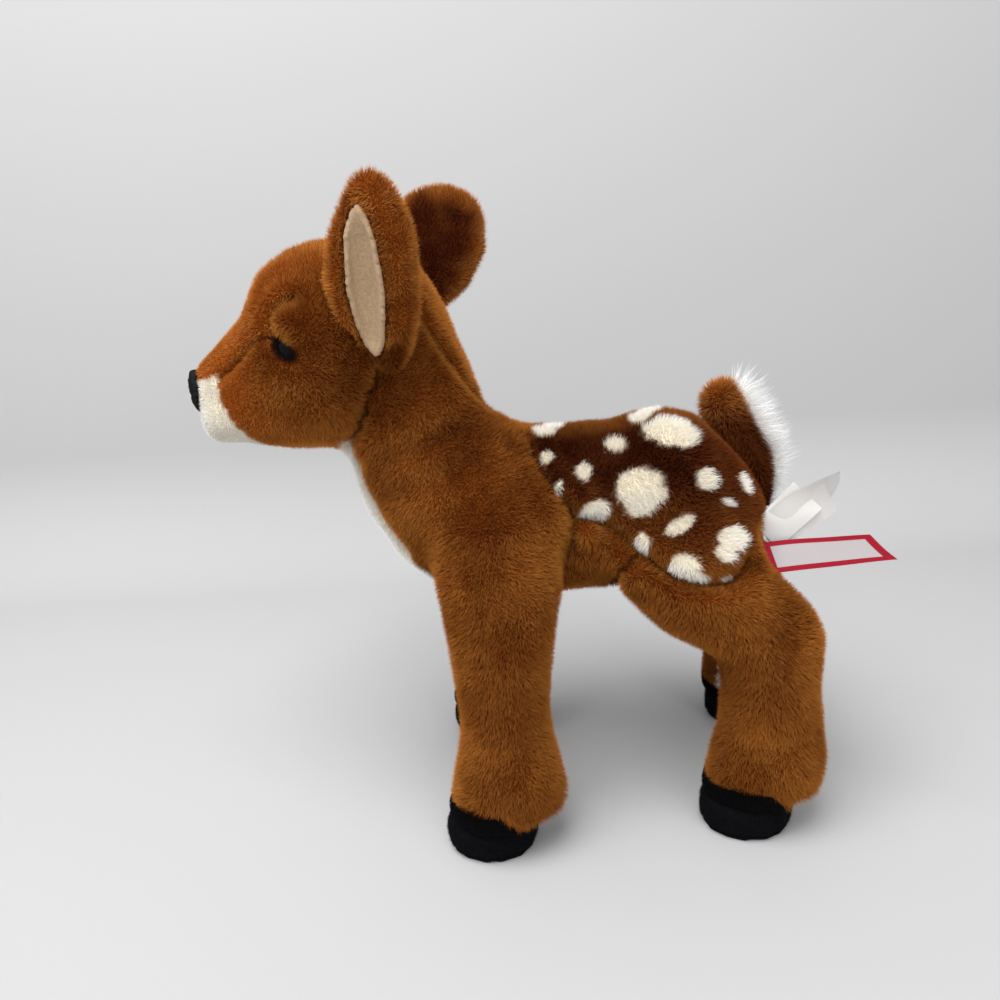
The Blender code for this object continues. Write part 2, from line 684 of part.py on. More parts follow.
eye_parts = {}
for side_name, side in SIDES.items():
    eye_x = HEAD_PIVOT.x + EYE_SHARES[0] * HEAD_SIZE
    eye_z = HEAD_PIVOT.z + EYE_SHARES[1] * HEAD_SIZE
    face_y = side * EYE_SPAN_SHARE * HEAD_WIDTH
    dome_place = Vector((eye_x, face_y - side * (EYE_RADIUS - EYE_PROUD), eye_z))
    shank_length = EYE_RADIUS + CLOTH + WASHER_THICKNESS
    shank_place = dome_place - Vector((0, side * shank_length / 2, 0))
    washer_place = Vector((eye_x, face_y - side * (EYE_RADIUS + CLOTH), eye_z))
    forms_of_eye = {}
    for kind, gap in (("piece", 0), ("room", SEAM)):
        dome_radius = EYE_RADIUS + gap
        dome = make_ball(f"dome_{kind}_{side_name}", dome_place, (dome_radius,) * 3, DOME_SIDES)
        shank = make_drum(
            f"shank_{kind}_{side_name}", shank_place, SHANK_RADIUS + gap, shank_length, sides=SHANK_SIDES
        )
        washer = make_drum(
            f"washer_{kind}_{side_name}", washer_place, WASHER_RADIUS + gap, WASHER_THICKNESS + 2 * gap,
            sides=WASHER_SIDES,
        )
        forms_of_eye[kind] = (combine(f"eye_{kind}_{side_name}", dome, add=[shank]), washer, shank)
    eye_parts[side_name] = forms_of_eye
    eye_form, washer_form, _ = forms_of_eye["piece"]
    publish(f"eye_{side_name}", eye_form, GLOSS, head_body)
    ring = combine(f"washer_ring_{side_name}", washer_form, cut=[forms_of_eye["room"][2]])
    publish(f"eye_washer_{side_name}", ring, NYLON, head_body)

rooms = [tool for data in eye_parts.values() for tool in data["room"][:2]]
head_skin = combine("head_skin", skull, cut=[skull_inner, *rooms])
muzzle_region = extrude_outline("muzzle_region", head_points(MUZZLE_SHARES), WHOLE)
muzzle_cut = extrude_outline("muzzle_cut", head_points(MUZZLE_SHARES), WHOLE, (SEAM, 0, SEAM))
gusset_half = GUSSET_HALF_SHARE * HEAD_WIDTH
gusset_region = extrude_outline("gusset_region", head_points(GUSSET_SHARES), gusset_half)
gusset_cut = extrude_outline("gusset_cut", head_points(GUSSET_SHARES), gusset_half + SEAM, (0, 0, -SEAM))
publish("muzzle_panel", combine("muzzle", head_skin, keep=[muzzle_region]), CREAM, head_body)
brown_head = combine("brown_head", head_skin, cut=[muzzle_cut])
publish("head_gusset", combine("gusset", brown_head, keep=[gusset_region]), BROWN, head_body)
cheeks = combine("cheeks", brown_head, cut=[gusset_cut, middle])
publish("head_side_left", combine("cheek_l", cheeks, keep=[left_half]), BROWN, head_body)
publish("head_side_right", combine("cheek_r", cheeks, cut=[left_half]), BROWN, head_body)
publish("head_stuffing", combine("head_fill", skull_core, cut=rooms), STUFFING, head_body)

nose_place = Vector((HEAD_PIVOT.x + NOSE_SHARES[0] * HEAD_SIZE, 0, HEAD_PIVOT.z + NOSE_SHARES[1] * HEAD_SIZE))
nose_ball = make_ball("nose_ball", nose_place, (NOSE_DEPTH / 2, NOSE_WIDTH / 2, NOSE_HEIGHT / 2), NOSE_SIDES)
nose_raised = loft("nose_raised", head_rows, HEAD_SIDES, inset=-NOSE_THICKNESS)
nose_under = loft("nose_under", head_rows, HEAD_SIDES, inset=-SEAM)
publish("nose", combine("nose_pad", nose_raised, keep=[nose_ball], cut=[nose_under]), THREAD, head_body)

# Ears, each a thick plush leaf with a lined hollow
head_near = loft("head_near", head_rows, HEAD_SIDES, inset=-SEAM)
trunk_near = loft("trunk_near", trunk_rings(), TRUNK_SIDES, inset=-SEAM)
for side_name, side in SIDES.items():
    root = HEAD_PIVOT + Vector((
        EAR_ROOT_SHARES[0] * HEAD_SIZE,
        side * EAR_ROOT_SHARES[1] * HEAD_WIDTH,
        EAR_ROOT_SHARES[2] * HEAD_SIZE,
    ))
    pose = (
        Matrix.Translation(root)
        @ Matrix.Rotation(EAR_LEAN[side_name], 4, "Y")
        @ Matrix.Rotation(-side * EAR_FLARE, 4, "X")
    )
    tall = EAR_HEIGHTS[side_name]
    wide = EAR_WIDTHS[side_name]
    leaf_rings = [
        section_ring((front * wide, z * tall), (rear * wide, z * tall), 0, t * EAR_THICKNESS)
        for z, front, rear, t in EAR_SHARES[side_name]
    ]
    leaf = loft(f"ear_leaf_{side_name}", leaf_rings, EAR_SIDES)
    place = HOLLOW_PLACE_SHARE * wide
    hollow_out = side * EAR_THICKNESS / 2
    scoops = {}
    for kind, grow in (("open", 0), ("lining", LINING_THICKNESS), ("back", LINING_THICKNESS + SEAM)):
        scoop_rings = []
        for z, half, deep in HOLLOW_SHARES:
            reach = half * wide + grow
            low, high = (place - reach, z * tall), (place + reach, z * tall)
            scoop_rings.append(section_ring(low, high, hollow_out, deep * LINING_DEPTH + grow))
        scoops[kind] = loft(f"scoop_{kind}_{side_name}", scoop_rings, SCOOP_SIDES)
    for form in (leaf, *scoops.values()):
        form.data.transform(pose)
    ear_body = add_pivot(f"ear_{side_name}_pivot", root)
    flop = EAR_FLOP if side < 0 else (-EAR_FLOP[1], -EAR_FLOP[0])
    head_clear = [
        copy
        for skin in (head_near, trunk_near)
        for copy in swept(skin, root, ALONG_X, flop, reverse=True)
    ]
    back = combine(f"ear_back_{side_name}_form", leaf, cut=[scoops["back"], *head_clear])
    lining = combine(
        f"ear_lining_{side_name}_form", scoops["lining"], keep=[leaf], cut=[scoops["open"], *head_clear]
    )
    publish(f"ear_back_{side_name}", back, BROWN, ear_body)
    publish(f"ear_lining_{side_name}", lining, SUEDE, ear_body)

# Tail
tail_root = Vector((
    SHOULDER_X + TAIL_ROOT_SHARES[0] * STRIDE, 0, TAIL_ROOT_SHARES[1] * STAND_HEIGHT
))
tail_rows = []
for low_x, low_z, high_x, high_z, half in TAIL_SHARES:
    low = (tail_root.x + low_x * TAIL_DEPTH, tail_root.z + low_z * TAIL_LENGTH)
    high = (tail_root.x + high_x * TAIL_DEPTH, tail_root.z + high_z * TAIL_LENGTH)
    tail_rows.append(section_ring(low, high, half_width=half * TAIL_WIDTH))
tail_form = loft("tail_form", tail_rows, TAIL_SIDES)
rump_clear = swept(trunk_near, tail_root, ALONG_Y, TAIL_LIFT, reverse=True)
white_side = turned(tail_form, tail_root, ALONG_Y, 0)
white_side.data.transform(Matrix.Translation((TAIL_CLOTH, 0, 0)))
white_clear = turned(white_side, tail_root, ALONG_Y, 0)
white_clear.data.transform(Matrix.Translation((-SEAM, 0, 0)))
tail_body = add_pivot("tail_pivot", tail_root)
tail_free = combine("tail_free", tail_form, cut=rump_clear)
publish("tail_top", combine("tail_brown", tail_free, cut=[white_clear]), BROWN, tail_body)
publish("tail_underside", combine("tail_white", tail_free, keep=[white_side]), CREAM, tail_body)

# Legs and hooves
for leg, data in LEGS.items():
    side = data["side"]
    hoof_rows = hoof_rings(data["hoof_x"], data["hoof_y"])
    hoof_outer = loft(f"hoof_{leg}_outer", hoof_rows, HOOF_SIDES)
    hoof_inner = loft(f"hoof_{leg}_inner", hoof_rings(data["hoof_x"], data["hoof_y"], FELT_CLOTH), HOOF_SIDES)
    core_rows = hoof_rings(data["hoof_x"], data["hoof_y"], FELT_CLOTH + FILL_GAP)
    hoof_core = loft(f"hoof_{leg}_core", core_rows, HOOF_SIDES)
    at_foot = Vector((data["hoof_x"], data["hoof_y"], 0))
    block = (WHOLE, WHOLE, WHOLE)
    cuff_height = Vector((0, 0, HOOF_HEIGHT - WHOLE / 2))
    brim_height = Vector((0, 0, HOOF_HEIGHT - SEAM + WHOLE / 2))
    cup_height = Vector((0, 0, SOLE_THICKNESS + SEAM - WHOLE / 2))
    sole_middle = Vector((0, 0, SOLE_THICKNESS / 2))
    under_cuff = make_box("under_cuff", at_foot + cuff_height, block)
    over_hoof = make_box("over_hoof", at_foot + brim_height, block)
    under_cup = make_box("under_cup", at_foot + cup_height, block)
    sole_slab = make_box("sole_slab", at_foot + sole_middle, (WHOLE, WHOLE, SOLE_THICKNESS))
    cover = combine(
        f"leg_{leg}_cover", data["outer"], cut=[data["inner"], data["hollow"], under_cuff]
    )
    lean = make_box(
        "leg_panel",
        (data["hoof_x"], side * (LEG_PANEL_SHARE * data["track"] / 2 + WHOLE / 2), 0),
        (WHOLE, WHOLE, WHOLE),
    )
    foot_edge = Vector((0, side * LEG_PANEL_SHARE * data["track"] / 2, 0))
    outside = turned(lean, foot_edge, ALONG_X, side * math.degrees(LEG_PANEL_LEAN))
    outside_clear = turned(outside, foot_edge, ALONG_X, 0)
    outside_clear.data.transform(Matrix.Translation((0, -side * SEAM, 0)))
    leg_body = add_pivot(f"leg_{leg}_pivot", data["pivot"])
    publish(f"leg_outer_{leg}", combine(f"{leg}_brown", cover, keep=[outside]), BROWN, leg_body)
    publish(f"leg_inner_{leg}", combine(f"{leg}_cream", cover, cut=[outside_clear]), CREAM, leg_body)
    leg_fill = combine(f"{leg}_leg_fill", data["core"], cut=[data["hollow"], under_cuff])
    hoof_fill = combine(f"{leg}_hoof_fill", hoof_core, cut=[under_cup])
    publish(f"leg_stuffing_{leg}", combine(f"{leg}_fill", leg_fill, add=[hoof_fill]), STUFFING, leg_body)
    cup = combine(f"{leg}_cup", hoof_outer, cut=[hoof_inner, over_hoof, under_cup])
    publish(f"hoof_cup_{leg}", cup, FELT, leg_body)
    publish(f"hoof_sole_{leg}", combine(f"{leg}_sole", hoof_outer, keep=[sole_slab]), FELT, leg_body)

# Labels sewn in under the tail
ribbon_root = Vector((
    SHOULDER_X + RIBBON_ROOT_SHARES[0] * STRIDE,
    RIBBON_ROOT_SHARES[1] * BODY_WIDTH,
    RIBBON_ROOT_SHARES[2] * STAND_HEIGHT,
))
care_root = Vector((
    SHOULDER_X + CARE_ROOT_SHARES[0] * STRIDE,
    CARE_ROOT_SHARES[1] * BODY_WIDTH,
    CARE_ROOT_SHARES[2] * STAND_HEIGHT,
))


def label_turn(rise, roll):
    """Return a label's turn: its tip raised about the toy's width, and a roll about its own length."""
    return Matrix.Rotation(-rise, 4, "Y") @ Matrix.Rotation(roll, 4, "X")


def make_label(name, root, size, turn, pivot, flap, hinge, clear_of=()):
    """Return a thin label from its root on the rump, cut back to the cloth that it is sewn to."""
    plate = make_box(name + "_plate", (size[0] / 2, 0, 0), size)
    plate.data.transform(Matrix.Translation(root) @ turn)
    obstacles = swept(trunk_near, pivot, hinge, flap, reverse=True)
    return combine(name + "_form", plate, cut=[*obstacles, *clear_of])


ribbon_turn = label_turn(RIBBON_RISE, RIBBON_ROLL)
ribbon_hinge = ribbon_turn.to_3x3() @ ALONG_Y
ribbon_size = (RIBBON_LENGTH, RIBBON_WIDTH, RIBBON_THICKNESS)
ribbon_body = add_pivot("ribbon_pivot", ribbon_root)
ribbon = make_label(
    "ribbon_label", ribbon_root, ribbon_size, ribbon_turn, ribbon_root, RIBBON_FLAP, ribbon_hinge,
    clear_of=[LEGS["rear_left"]["pocket"]],
)
publish("ribbon_label", ribbon, RIBBON, ribbon_body)

care_hinge = label_turn(CARE_RISES[0], math.pi / 2).to_3x3() @ ALONG_Y
care_body = add_pivot("care_pivot", care_root)
for number, (rise, length_share) in enumerate(zip(CARE_RISES, CARE_LENGTH_SHARES), start=1):
    place = care_root - ALONG_Y * CARE_SPACING * number
    care_size = (length_share * CARE_LENGTH, CARE_WIDTH, CARE_THICKNESS)
    care_turn = label_turn(rise, math.pi / 2)
    care = make_label(
        f"care_label_{number}", place, care_size, care_turn, care_root, CARE_FLAP, care_hinge
    )
    publish(f"care_label_{number}", care, SATIN, care_body)
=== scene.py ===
# %% [markdown]
# # A plush fawn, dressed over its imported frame
# The frame is the toy's real construction: covers, stuffing, hooves, eyes and labels, each on the
# body that it moves with. It is loaded first, because everything below takes its place from it.
# What a stuffed toy looks like is almost all pile, so most of this lesson is about cloth with fur.

# %% Load the frame
import json
import math

import bmesh
import bpy
import numpy as np
from mathutils import Matrix, Vector, noise
from mathutils.bvhtree import BVHTree
from mathutils.kdtree import KDTree


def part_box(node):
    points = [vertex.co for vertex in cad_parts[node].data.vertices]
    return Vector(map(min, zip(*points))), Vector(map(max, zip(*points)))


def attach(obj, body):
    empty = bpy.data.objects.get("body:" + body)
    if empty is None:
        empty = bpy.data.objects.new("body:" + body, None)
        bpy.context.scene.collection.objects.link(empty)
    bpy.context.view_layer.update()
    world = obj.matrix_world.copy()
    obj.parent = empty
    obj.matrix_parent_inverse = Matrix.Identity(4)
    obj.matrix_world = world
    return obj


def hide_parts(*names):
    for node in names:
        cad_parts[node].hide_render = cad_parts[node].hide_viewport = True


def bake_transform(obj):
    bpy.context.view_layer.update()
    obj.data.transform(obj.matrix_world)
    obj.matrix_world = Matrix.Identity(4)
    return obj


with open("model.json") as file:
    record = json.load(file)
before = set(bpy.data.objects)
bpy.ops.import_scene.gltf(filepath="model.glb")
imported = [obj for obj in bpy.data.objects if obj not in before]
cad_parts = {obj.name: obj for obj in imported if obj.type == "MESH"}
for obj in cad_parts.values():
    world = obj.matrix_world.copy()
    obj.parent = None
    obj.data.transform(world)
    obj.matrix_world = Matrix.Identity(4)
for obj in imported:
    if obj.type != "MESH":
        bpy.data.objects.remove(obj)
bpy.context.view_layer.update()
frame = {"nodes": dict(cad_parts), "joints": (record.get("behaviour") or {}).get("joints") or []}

MM = 0.001
JOINTS = {joint["name"]: joint for joint in frame["joints"]}
SHOULDER = np.array(JOINTS["leg_front_left_swing"]["pos_m"])
HIP = np.array(JOINTS["leg_rear_left_swing"]["pos_m"])
LEGS = ("front_left", "front_right", "rear_left", "rear_right")
NECK = np.array(JOINTS["neck_turn"]["pos_m"])
NECK_AXIS = np.array(JOINTS["neck_turn"]["axis"])
HEAD = np.array(JOINTS["head_nod"]["pos_m"])

# %% [markdown]
# ## The camera
# The photograph was taken from the fawn's left, a little above it, with the camera tilted a few
# degrees. The camera is set up first, because the spots on the back are placed by where they show
# in that view. The picture is 1000 by 1000 pixels.

# %% Set up the camera
PICTURE = 1000
FOCAL_PX = 770
SENSOR_MM = 36
CAMERA_PLACE = Vector((-0.017, -0.394, 0.290))
CAMERA_DOWN = math.radians(16.8)
CAMERA_ROLL = math.radians(3.5)

camera_data = bpy.data.cameras.new("studio_camera")
camera_data.sensor_width = SENSOR_MM
camera_data.lens = SENSOR_MM * FOCAL_PX / PICTURE
camera_data.clip_start = 0.01
camera = bpy.data.objects.new("studio_camera", camera_data)
bpy.context.scene.collection.objects.link(camera)
CAMERA_TURN = Matrix.Rotation(math.pi / 2 - CAMERA_DOWN, 3, "X") @ Matrix.Rotation(-CAMERA_ROLL, 3, "Z")
camera.matrix_world = Matrix.Translation(CAMERA_PLACE) @ CAMERA_TURN.to_4x4()
bpy.context.scene.camera = camera
print("the camera stands at", [round(value / MM) for value in CAMERA_PLACE], "mm")


def sight_line(x, y):
    """Return the direction in which the camera sees a pixel of the photograph."""
    half = PICTURE / 2
    return (CAMERA_TURN @ Vector(((x - half) / FOCAL_PX, (half - y) / FOCAL_PX, -1))).normalized()


# %% [markdown]
# ## The studio
# A pale floor that sweeps up into a pale wall, one broad soft lamp above and a weaker one beside
# the camera. The lamps stay low enough that cream plush keeps its shading.

# %% Build the studio
FLOOR_COLOUR = (0.47, 0.47, 0.472)
FLOOR_FRONT = -1.2
WALL_PLACE = 0.42
WALL_HEIGHT = 1.6
STAGE_WIDTH = 5.0
SWEEP_RADIUS = 0.12
SWEEP_STEPS = 12
# Lamps: place, target, side in metres and power in watts
LAMPS = {
    "overhead_lamp": ((-0.35, -0.45, 1.35), (0, 0.05, 0.1), 1.0, 24),
    "camera_side_lamp": ((0.5, -1.2, 0.7), (0, 0, 0.15), 0.9, 5),
}
AIR_COLOUR = (0.98, 0.985, 1.0, 1)
AIR_STRENGTH = 0.60


def principled(name, values):
    """Return a new material, its node tree and its Principled shader, with some inputs set."""
    material = bpy.data.materials.new(name)
    material.use_nodes = True
    shader = material.node_tree.nodes["Principled BSDF"]
    for socket_name, value in values.items():
        shader.inputs[socket_name].default_value = value
    return material, material.node_tree, shader


def piece_from(name, shape):
    """Turn a bmesh into a new smooth object in the scene and return it."""
    mesh = bpy.data.meshes.new(name)
    shape.to_mesh(mesh)
    shape.free()
    mesh.shade_smooth()
    piece = bpy.data.objects.new(name, mesh)
    bpy.context.scene.collection.objects.link(piece)
    return piece


def build_stage():
    """Make the floor and wall as one swept sheet."""
    profile = [(FLOOR_FRONT, 0.0)]
    for i in range(SWEEP_STEPS + 1):
        angle = math.pi / 2 * i / SWEEP_STEPS
        y = WALL_PLACE - SWEEP_RADIUS + SWEEP_RADIUS * math.sin(angle)
        profile.append((y, SWEEP_RADIUS - SWEEP_RADIUS * math.cos(angle)))
    profile.append((WALL_PLACE, WALL_HEIGHT))
    shape = bmesh.new()
    rows = [[shape.verts.new((side * STAGE_WIDTH / 2, y, z)) for side in (-1, 1)] for y, z in profile]
    for low, high in zip(rows, rows[1:]):
        shape.faces.new((low[0], low[1], high[1], high[0]))
    sweep = piece_from("studio_sweep", shape)
    paper = {"Base Color": (*FLOOR_COLOUR, 1), "Roughness": 0.9}
    sweep.data.materials.append(principled("studio_paper", paper)[0])


def add_lamp(name, place, target, size, power):
    """Add a soft square lamp that points at a target."""
    data = bpy.data.lights.new(name, "AREA")
    data.shape = "SQUARE"
    data.size = size
    data.energy = power
    lamp = bpy.data.objects.new(name, data)
    bpy.context.scene.collection.objects.link(lamp)
    lamp.location = place
    lamp.rotation_euler = (Vector(target) - Vector(place)).to_track_quat("-Z", "Y").to_euler()


build_stage()
for lamp_name, settings in LAMPS.items():
    add_lamp(lamp_name, *settings)
world = bpy.data.worlds.new("studio_air")
world.use_nodes = True
air = world.node_tree.nodes["Background"].inputs
air["Color"].default_value = AIR_COLOUR
air["Strength"].default_value = AIR_STRENGTH
bpy.context.scene.world = world
bpy.context.scene.view_settings.view_transform = "Standard"
print("lamps:", ", ".join(LAMPS))

# %% [markdown]
# ## The skin of the toy
# The covers in the frame are flat panels with narrow seams between them. A stuffed toy is one soft
# skin. A voxel remesh turns nested and touching solids into one closed skin, which a few rounds of
# smoothing then relax. The same step also closes the narrow gaps in which the legs swing.

# %% Make one soft skin from the covers and their filling
VOXEL = 0.0026
GAP_CLOSER = 0.004
SMOOTH_ROUNDS = 9


def solid_nodes(*words):
    """Return the frame's nodes whose names start with any of the words."""
    return [node for name, node in frame["nodes"].items() if name.startswith(words)]


def joined(name, nodes):
    """Return one scratch object with copies of the nodes' meshes."""
    shape = bmesh.new()
    for node in nodes:
        shape.from_mesh(node.data)
    return piece_from(name, shape)


def apply_modifiers(piece):
    """Replace an object's mesh by what its modifiers make of it."""
    bpy.context.view_layer.update()
    graph = bpy.context.evaluated_depsgraph_get()
    mesh = bpy.data.meshes.new_from_object(piece.evaluated_get(graph))
    piece.modifiers.clear()
    piece.data = mesh
    return piece


def modified(piece, kind, **settings):
    """Replace an object's mesh by what one modifier makes of it."""
    step = piece.modifiers.new(kind.lower(), kind)
    for name, value in settings.items():
        setattr(step, name, value)
    return apply_modifiers(piece)


def remesh(piece, voxel):
    """Rebuild an object's surface as even quads."""
    return modified(piece, "REMESH", mode="VOXEL", voxel_size=voxel)


def smooth(piece, rounds, factor=0.5):
    """Relax an object's surface."""
    return modified(piece, "SMOOTH", factor=factor, iterations=rounds)


def swell(piece, distance):
    """Move an object's surface out along its normals, or in where the distance is negative."""
    return modified(piece, "DISPLACE", mid_level=0, strength=distance)


toy_skin = joined("toy_skin", solid_nodes(
    "flank", "back_panel", "belly", "body_stuffing", "neck", "throat", "head", "muzzle",
    "leg_outer", "leg_inner", "leg_stuffing",
))
remesh(toy_skin, VOXEL)
swell(toy_skin, GAP_CLOSER)
remesh(toy_skin, VOXEL)
smooth(toy_skin, SMOOTH_ROUNDS)
swell(toy_skin, -GAP_CLOSER)
smooth(toy_skin, 2)
print("the skin has", len(toy_skin.data.polygons), "faces")


# %% [markdown]
# ## Where things are on the skin
# Colour, pile length and nap are all worked out from where a point lies, so that the skin under the
# pile and each strand of the pile agree. Outlines are drawn in the side view, in millimetres in the
# frame's own coordinates, along the seams that the real toy has.

# %% Outlines of the panels, in the side view
SADDLE = ((-3, 235), (-1, 218), (1, 208), (3, 201), (5, 196), (9, 189), (13, 184), (17, 178),
          (21, 174), (29, 171), (36, 166), (45, 159), (54, 153), (62, 148), (73, 144), (86, 143),
          (94, 146), (99, 151), (103, 157), (116, 166), (150, 170), (150, 235))
MUZZLE_CREAM = ((-185, 246), (-158, 246), (-153, 248), (-150, 246), (-150, 236), (-148, 231),
                (-146, 226), (-143, 221), (-140, 217), (-134, 212), (-127, 207), (-120, 200),
                (-100, 190), (-185, 190))
CHEST_CREAM = ((-96, 213), (-88, 213), (-82, 191), (-74, 170), (-66, 156), (-54, 142), (-30, 134),
               (150, 134), (150, 90), (-100, 90))
# How far each seed shifts the noise, and the gain with which the noise reaches about 1
NOISE_STEPS = (7.3, 3.1, 5.7)
NOISE_GAIN = 1.6


def in_outline(points, outline):
    """Return how far inside an outline each point's side view lies, negative outside, in metres."""
    corners = np.array(outline) * MM
    flat = points[:, [0, 2]]
    inside = np.zeros(len(flat), bool)
    nearest = np.full(len(flat), np.inf)
    for a, b in zip(corners, np.roll(corners, -1, axis=0)):
        crosses = (a[1] > flat[:, 1]) != (b[1] > flat[:, 1])
        with np.errstate(divide="ignore", invalid="ignore"):
            at = (b[0] - a[0]) * (flat[:, 1] - a[1]) / (b[1] - a[1]) + a[0]
        inside ^= crosses & (flat[:, 0] < at)
        along = np.clip(((flat - a) @ (b - a)) / ((b - a) @ (b - a)), 0, 1)
        nearest = np.minimum(nearest, np.linalg.norm(flat - a - along[:, None] * (b - a), axis=1))
    return np.where(inside, nearest, -nearest)


def ramp(values, low, high):
    """Return a smooth step from 0 at low to 1 at high."""
    share = np.clip((values - low) / (high - low), 0, 1)
    return share * share * (3 - 2 * share)


def from_floor(floor, share):
    """Return a floor where the share is 0, rising to 1 where it is 1."""
    return floor + (1 - floor) * share


def wobble(points, scale, seed):
    """Return smooth noise from about -1 to 1 at points, with waves about scale metres wide."""
    shift = Vector([seed * step for step in NOISE_STEPS])
    return np.array([noise.noise(Vector(point) / scale + shift) for point in points]) * NOISE_GAIN


def along_neck(points):
    """Return how far each point lies along the neck from its seam on the shoulders."""
    return (points - NECK) @ NECK_AXIS


# %% [markdown]
# ## Spots
# The back panel is printed with cream spots of many sizes. Each is listed by where its middle shows
# in the photograph, with its half width and half height in pixels and its tilt. A sight line from
# the camera finds the place on the skin, and the same spots are used again, mirrored, on the far
# side, a little further back so that the two sides don't match like a stamp.

# %% Place the spots on the back
SPOTS_PX = (
    (543, 428, 12, 6, 0), (547, 452, 7, 6, 0), (583, 471, 9, 10, 10), (615, 440, 11, 8, 0),
    (638, 413, 12, 6, 0), (667, 424, 24, 12, 6), (680, 431, 19, 13, 0), (641, 490, 25, 25, 20),
    (638, 503, 16, 14, 0), (559, 487, 4, 8, 20), (596, 511, 15, 11, -10), (709, 477, 10, 11, 20),
    (748, 480, 6, 10, 10), (731, 501, 7, 4, 10), (680, 523, 17, 8, -28), (641, 543, 8, 9, 0),
    (736, 537, 14, 12, -20), (726, 551, 10, 9, 0), (685, 565, 14, 11, 20), (698, 576, 12, 6, 20),
    (731, 577, 7, 3, 0),
)
MIRROR_BACK = 0.006
SPOT_FLATTEST = 0.42
SPOT_EDGE = (0.88, 1.10)
# How far a spot's edge wanders, as a share of its size, in long waves and in short ones
SPOT_WANDER = (0.11, 0.07)
SIGHT_UP = CAMERA_TURN @ Vector((0, 1, 0))


def ray_tree(piece):
    """Return a tree for finding where lines meet an object's surface."""
    shape = bmesh.new()
    shape.from_mesh(piece.data)
    tree = BVHTree.FromBMesh(shape)
    shape.free()
    return tree


skin_tree = ray_tree(toy_skin)


def on_skin(x, y):
    """Return the place and normal on the skin that show at a pixel of the photograph."""
    place, normal, _, distance = skin_tree.ray_cast(CAMERA_PLACE, sight_line(x, y))
    return place, normal, distance


def place_spots():
    """Return each spot as its middle, the directions that measure it in half widths and its size."""
    spots = []
    for x, y, wide, high, tilt in SPOTS_PX:
        place, normal, distance = on_skin(x, y)
        if place is None:
            continue
        pixel = distance / FOCAL_PX
        sight = sight_line(x, y)
        across = (Vector((1, 0, 0)) - normal * normal.x).normalized()
        upward = across.cross(normal).normalized()
        upward = upward if upward.dot(SIGHT_UP) > 0 else -upward
        wide *= pixel / max(SPOT_FLATTEST, math.sqrt(1 - across.dot(sight) ** 2))
        high *= pixel / max(SPOT_FLATTEST, math.sqrt(1 - upward.dot(sight) ** 2))
        turn = math.radians(-tilt)
        long_axis = np.array(across * math.cos(turn) + upward * math.sin(turn)) / wide
        short_axis = np.array(upward * math.cos(turn) - across * math.sin(turn)) / high
        spots.append((np.array(place), long_axis, short_axis, max(wide, high)))
        mirror = np.array((1, -1, 1))
        middle = np.array(place) * mirror + (MIRROR_BACK, 0, 0)
        spots.append((middle, long_axis * mirror, short_axis * mirror, max(wide, high)))
    return spots


SPOTS = place_spots()
print("spots placed:", len(SPOTS))


def spot_cover(points):
    """Return 1 well inside a cream spot, 0 outside, with a soft edge that wanders."""
    cover = np.zeros(len(points))
    edge = wobble(points, 0.006, 3) * SPOT_WANDER[0] + wobble(points, 0.0022, 4) * SPOT_WANDER[1]
    for middle, long_axis, short_axis, size in SPOTS:
        near = np.linalg.norm(points - middle, axis=1) < 2 * size
        if not near.any():
            continue
        offset = points[near] - middle
        reach = np.hypot(offset @ long_axis, offset @ short_axis) + edge[near]
        cover[near] = np.maximum(cover[near], 1 - ramp(reach, *SPOT_EDGE))
    return cover


# %% [markdown]
# ## Colour of the pile
# The pile's colours were read off the photograph: a warm brown, a near-black red-brown on top
# of the back that fades down the sides, and cream. Colour varies slowly over the cloth and quickly
# from tuft to tuft, as brushed pile does.

# %% Work out the colour of the cloth at any point
BROWN = np.array((0.310, 0.112, 0.018))
BROWN_LIGHT = np.array((0.520, 0.215, 0.045))
BROWN_DEEP = np.array((0.170, 0.042, 0.006))
SADDLE_DARK = np.array((0.105, 0.022, 0.004))
CREAM = np.array((0.93, 0.885, 0.78))
FELT_COLOUR = np.array((0.0040, 0.0040, 0.0050))
# Shares of a second colour: a level, and how far slow and quick variation change it
DEEP_SHARES = (0.16, -0.30, -0.12)
LIGHT_SHARES = (0.08, 0.20, 0.10)
SADDLE_SHARES = (0.27, 0.68, 0.12)
# Painted light on the top of the neck and head: its share, and how much more on the head
LIT_CROWN_SHARES = (0.42, 0.34)
CROWN_START = (0.0, 0.030)
CROWN_WIDTHS = (0.006, 0.026)
CROWN_WIDENING = 0.012
HEAD_START = (-0.010, 0.020)
SADDLE_FADE = (0.158, 0.200)
SADDLE_WANDER = 0.006
SADDLE_SLOPE = 0.020
SADDLE_SLOPE_ENDS = (0.055, 0.105)
SADDLE_EDGE = (-0.001, 0.001)
SADDLE_EDGE_WANDER = 0.0006
SPOT_MARGIN = (-0.006, -0.002)
SPINE_DARK = 0.35
SPINE_WIDTHS = (0.006, 0.018)
MUZZLE_SHADE = 0.09
CREAM_MOTTLE = 0.04
TAIL_ROOT = np.array(JOINTS["tail_lift"]["pos_m"])
TAIL_SHADE = (0.016, 0.042)
# A strand's root is painted darker as shade, and its tip paler and yellower as painted light
ROOT_SHADE_POWER = 1.70
TIP_LIGHT_GAIN = 1.45
TIP_LIGHT_YELLOWING = np.array((0.05, 0.04, 0.01))
TIP_BRIGHTEST = 0.90
SEAM_SHADE = 0.60
SEAM_SHADE_SHARE = 0.75


def blend_colours(first, second, share):
    """Return colours between two, by a share for each point."""
    return first + (second - first) * share[:, None]


def varied(shares, slow, quick):
    """Return a share between 0 and 1 that varies over the cloth."""
    return np.clip(shares[0] + shares[1] * slow + shares[2] * quick, 0, 1)


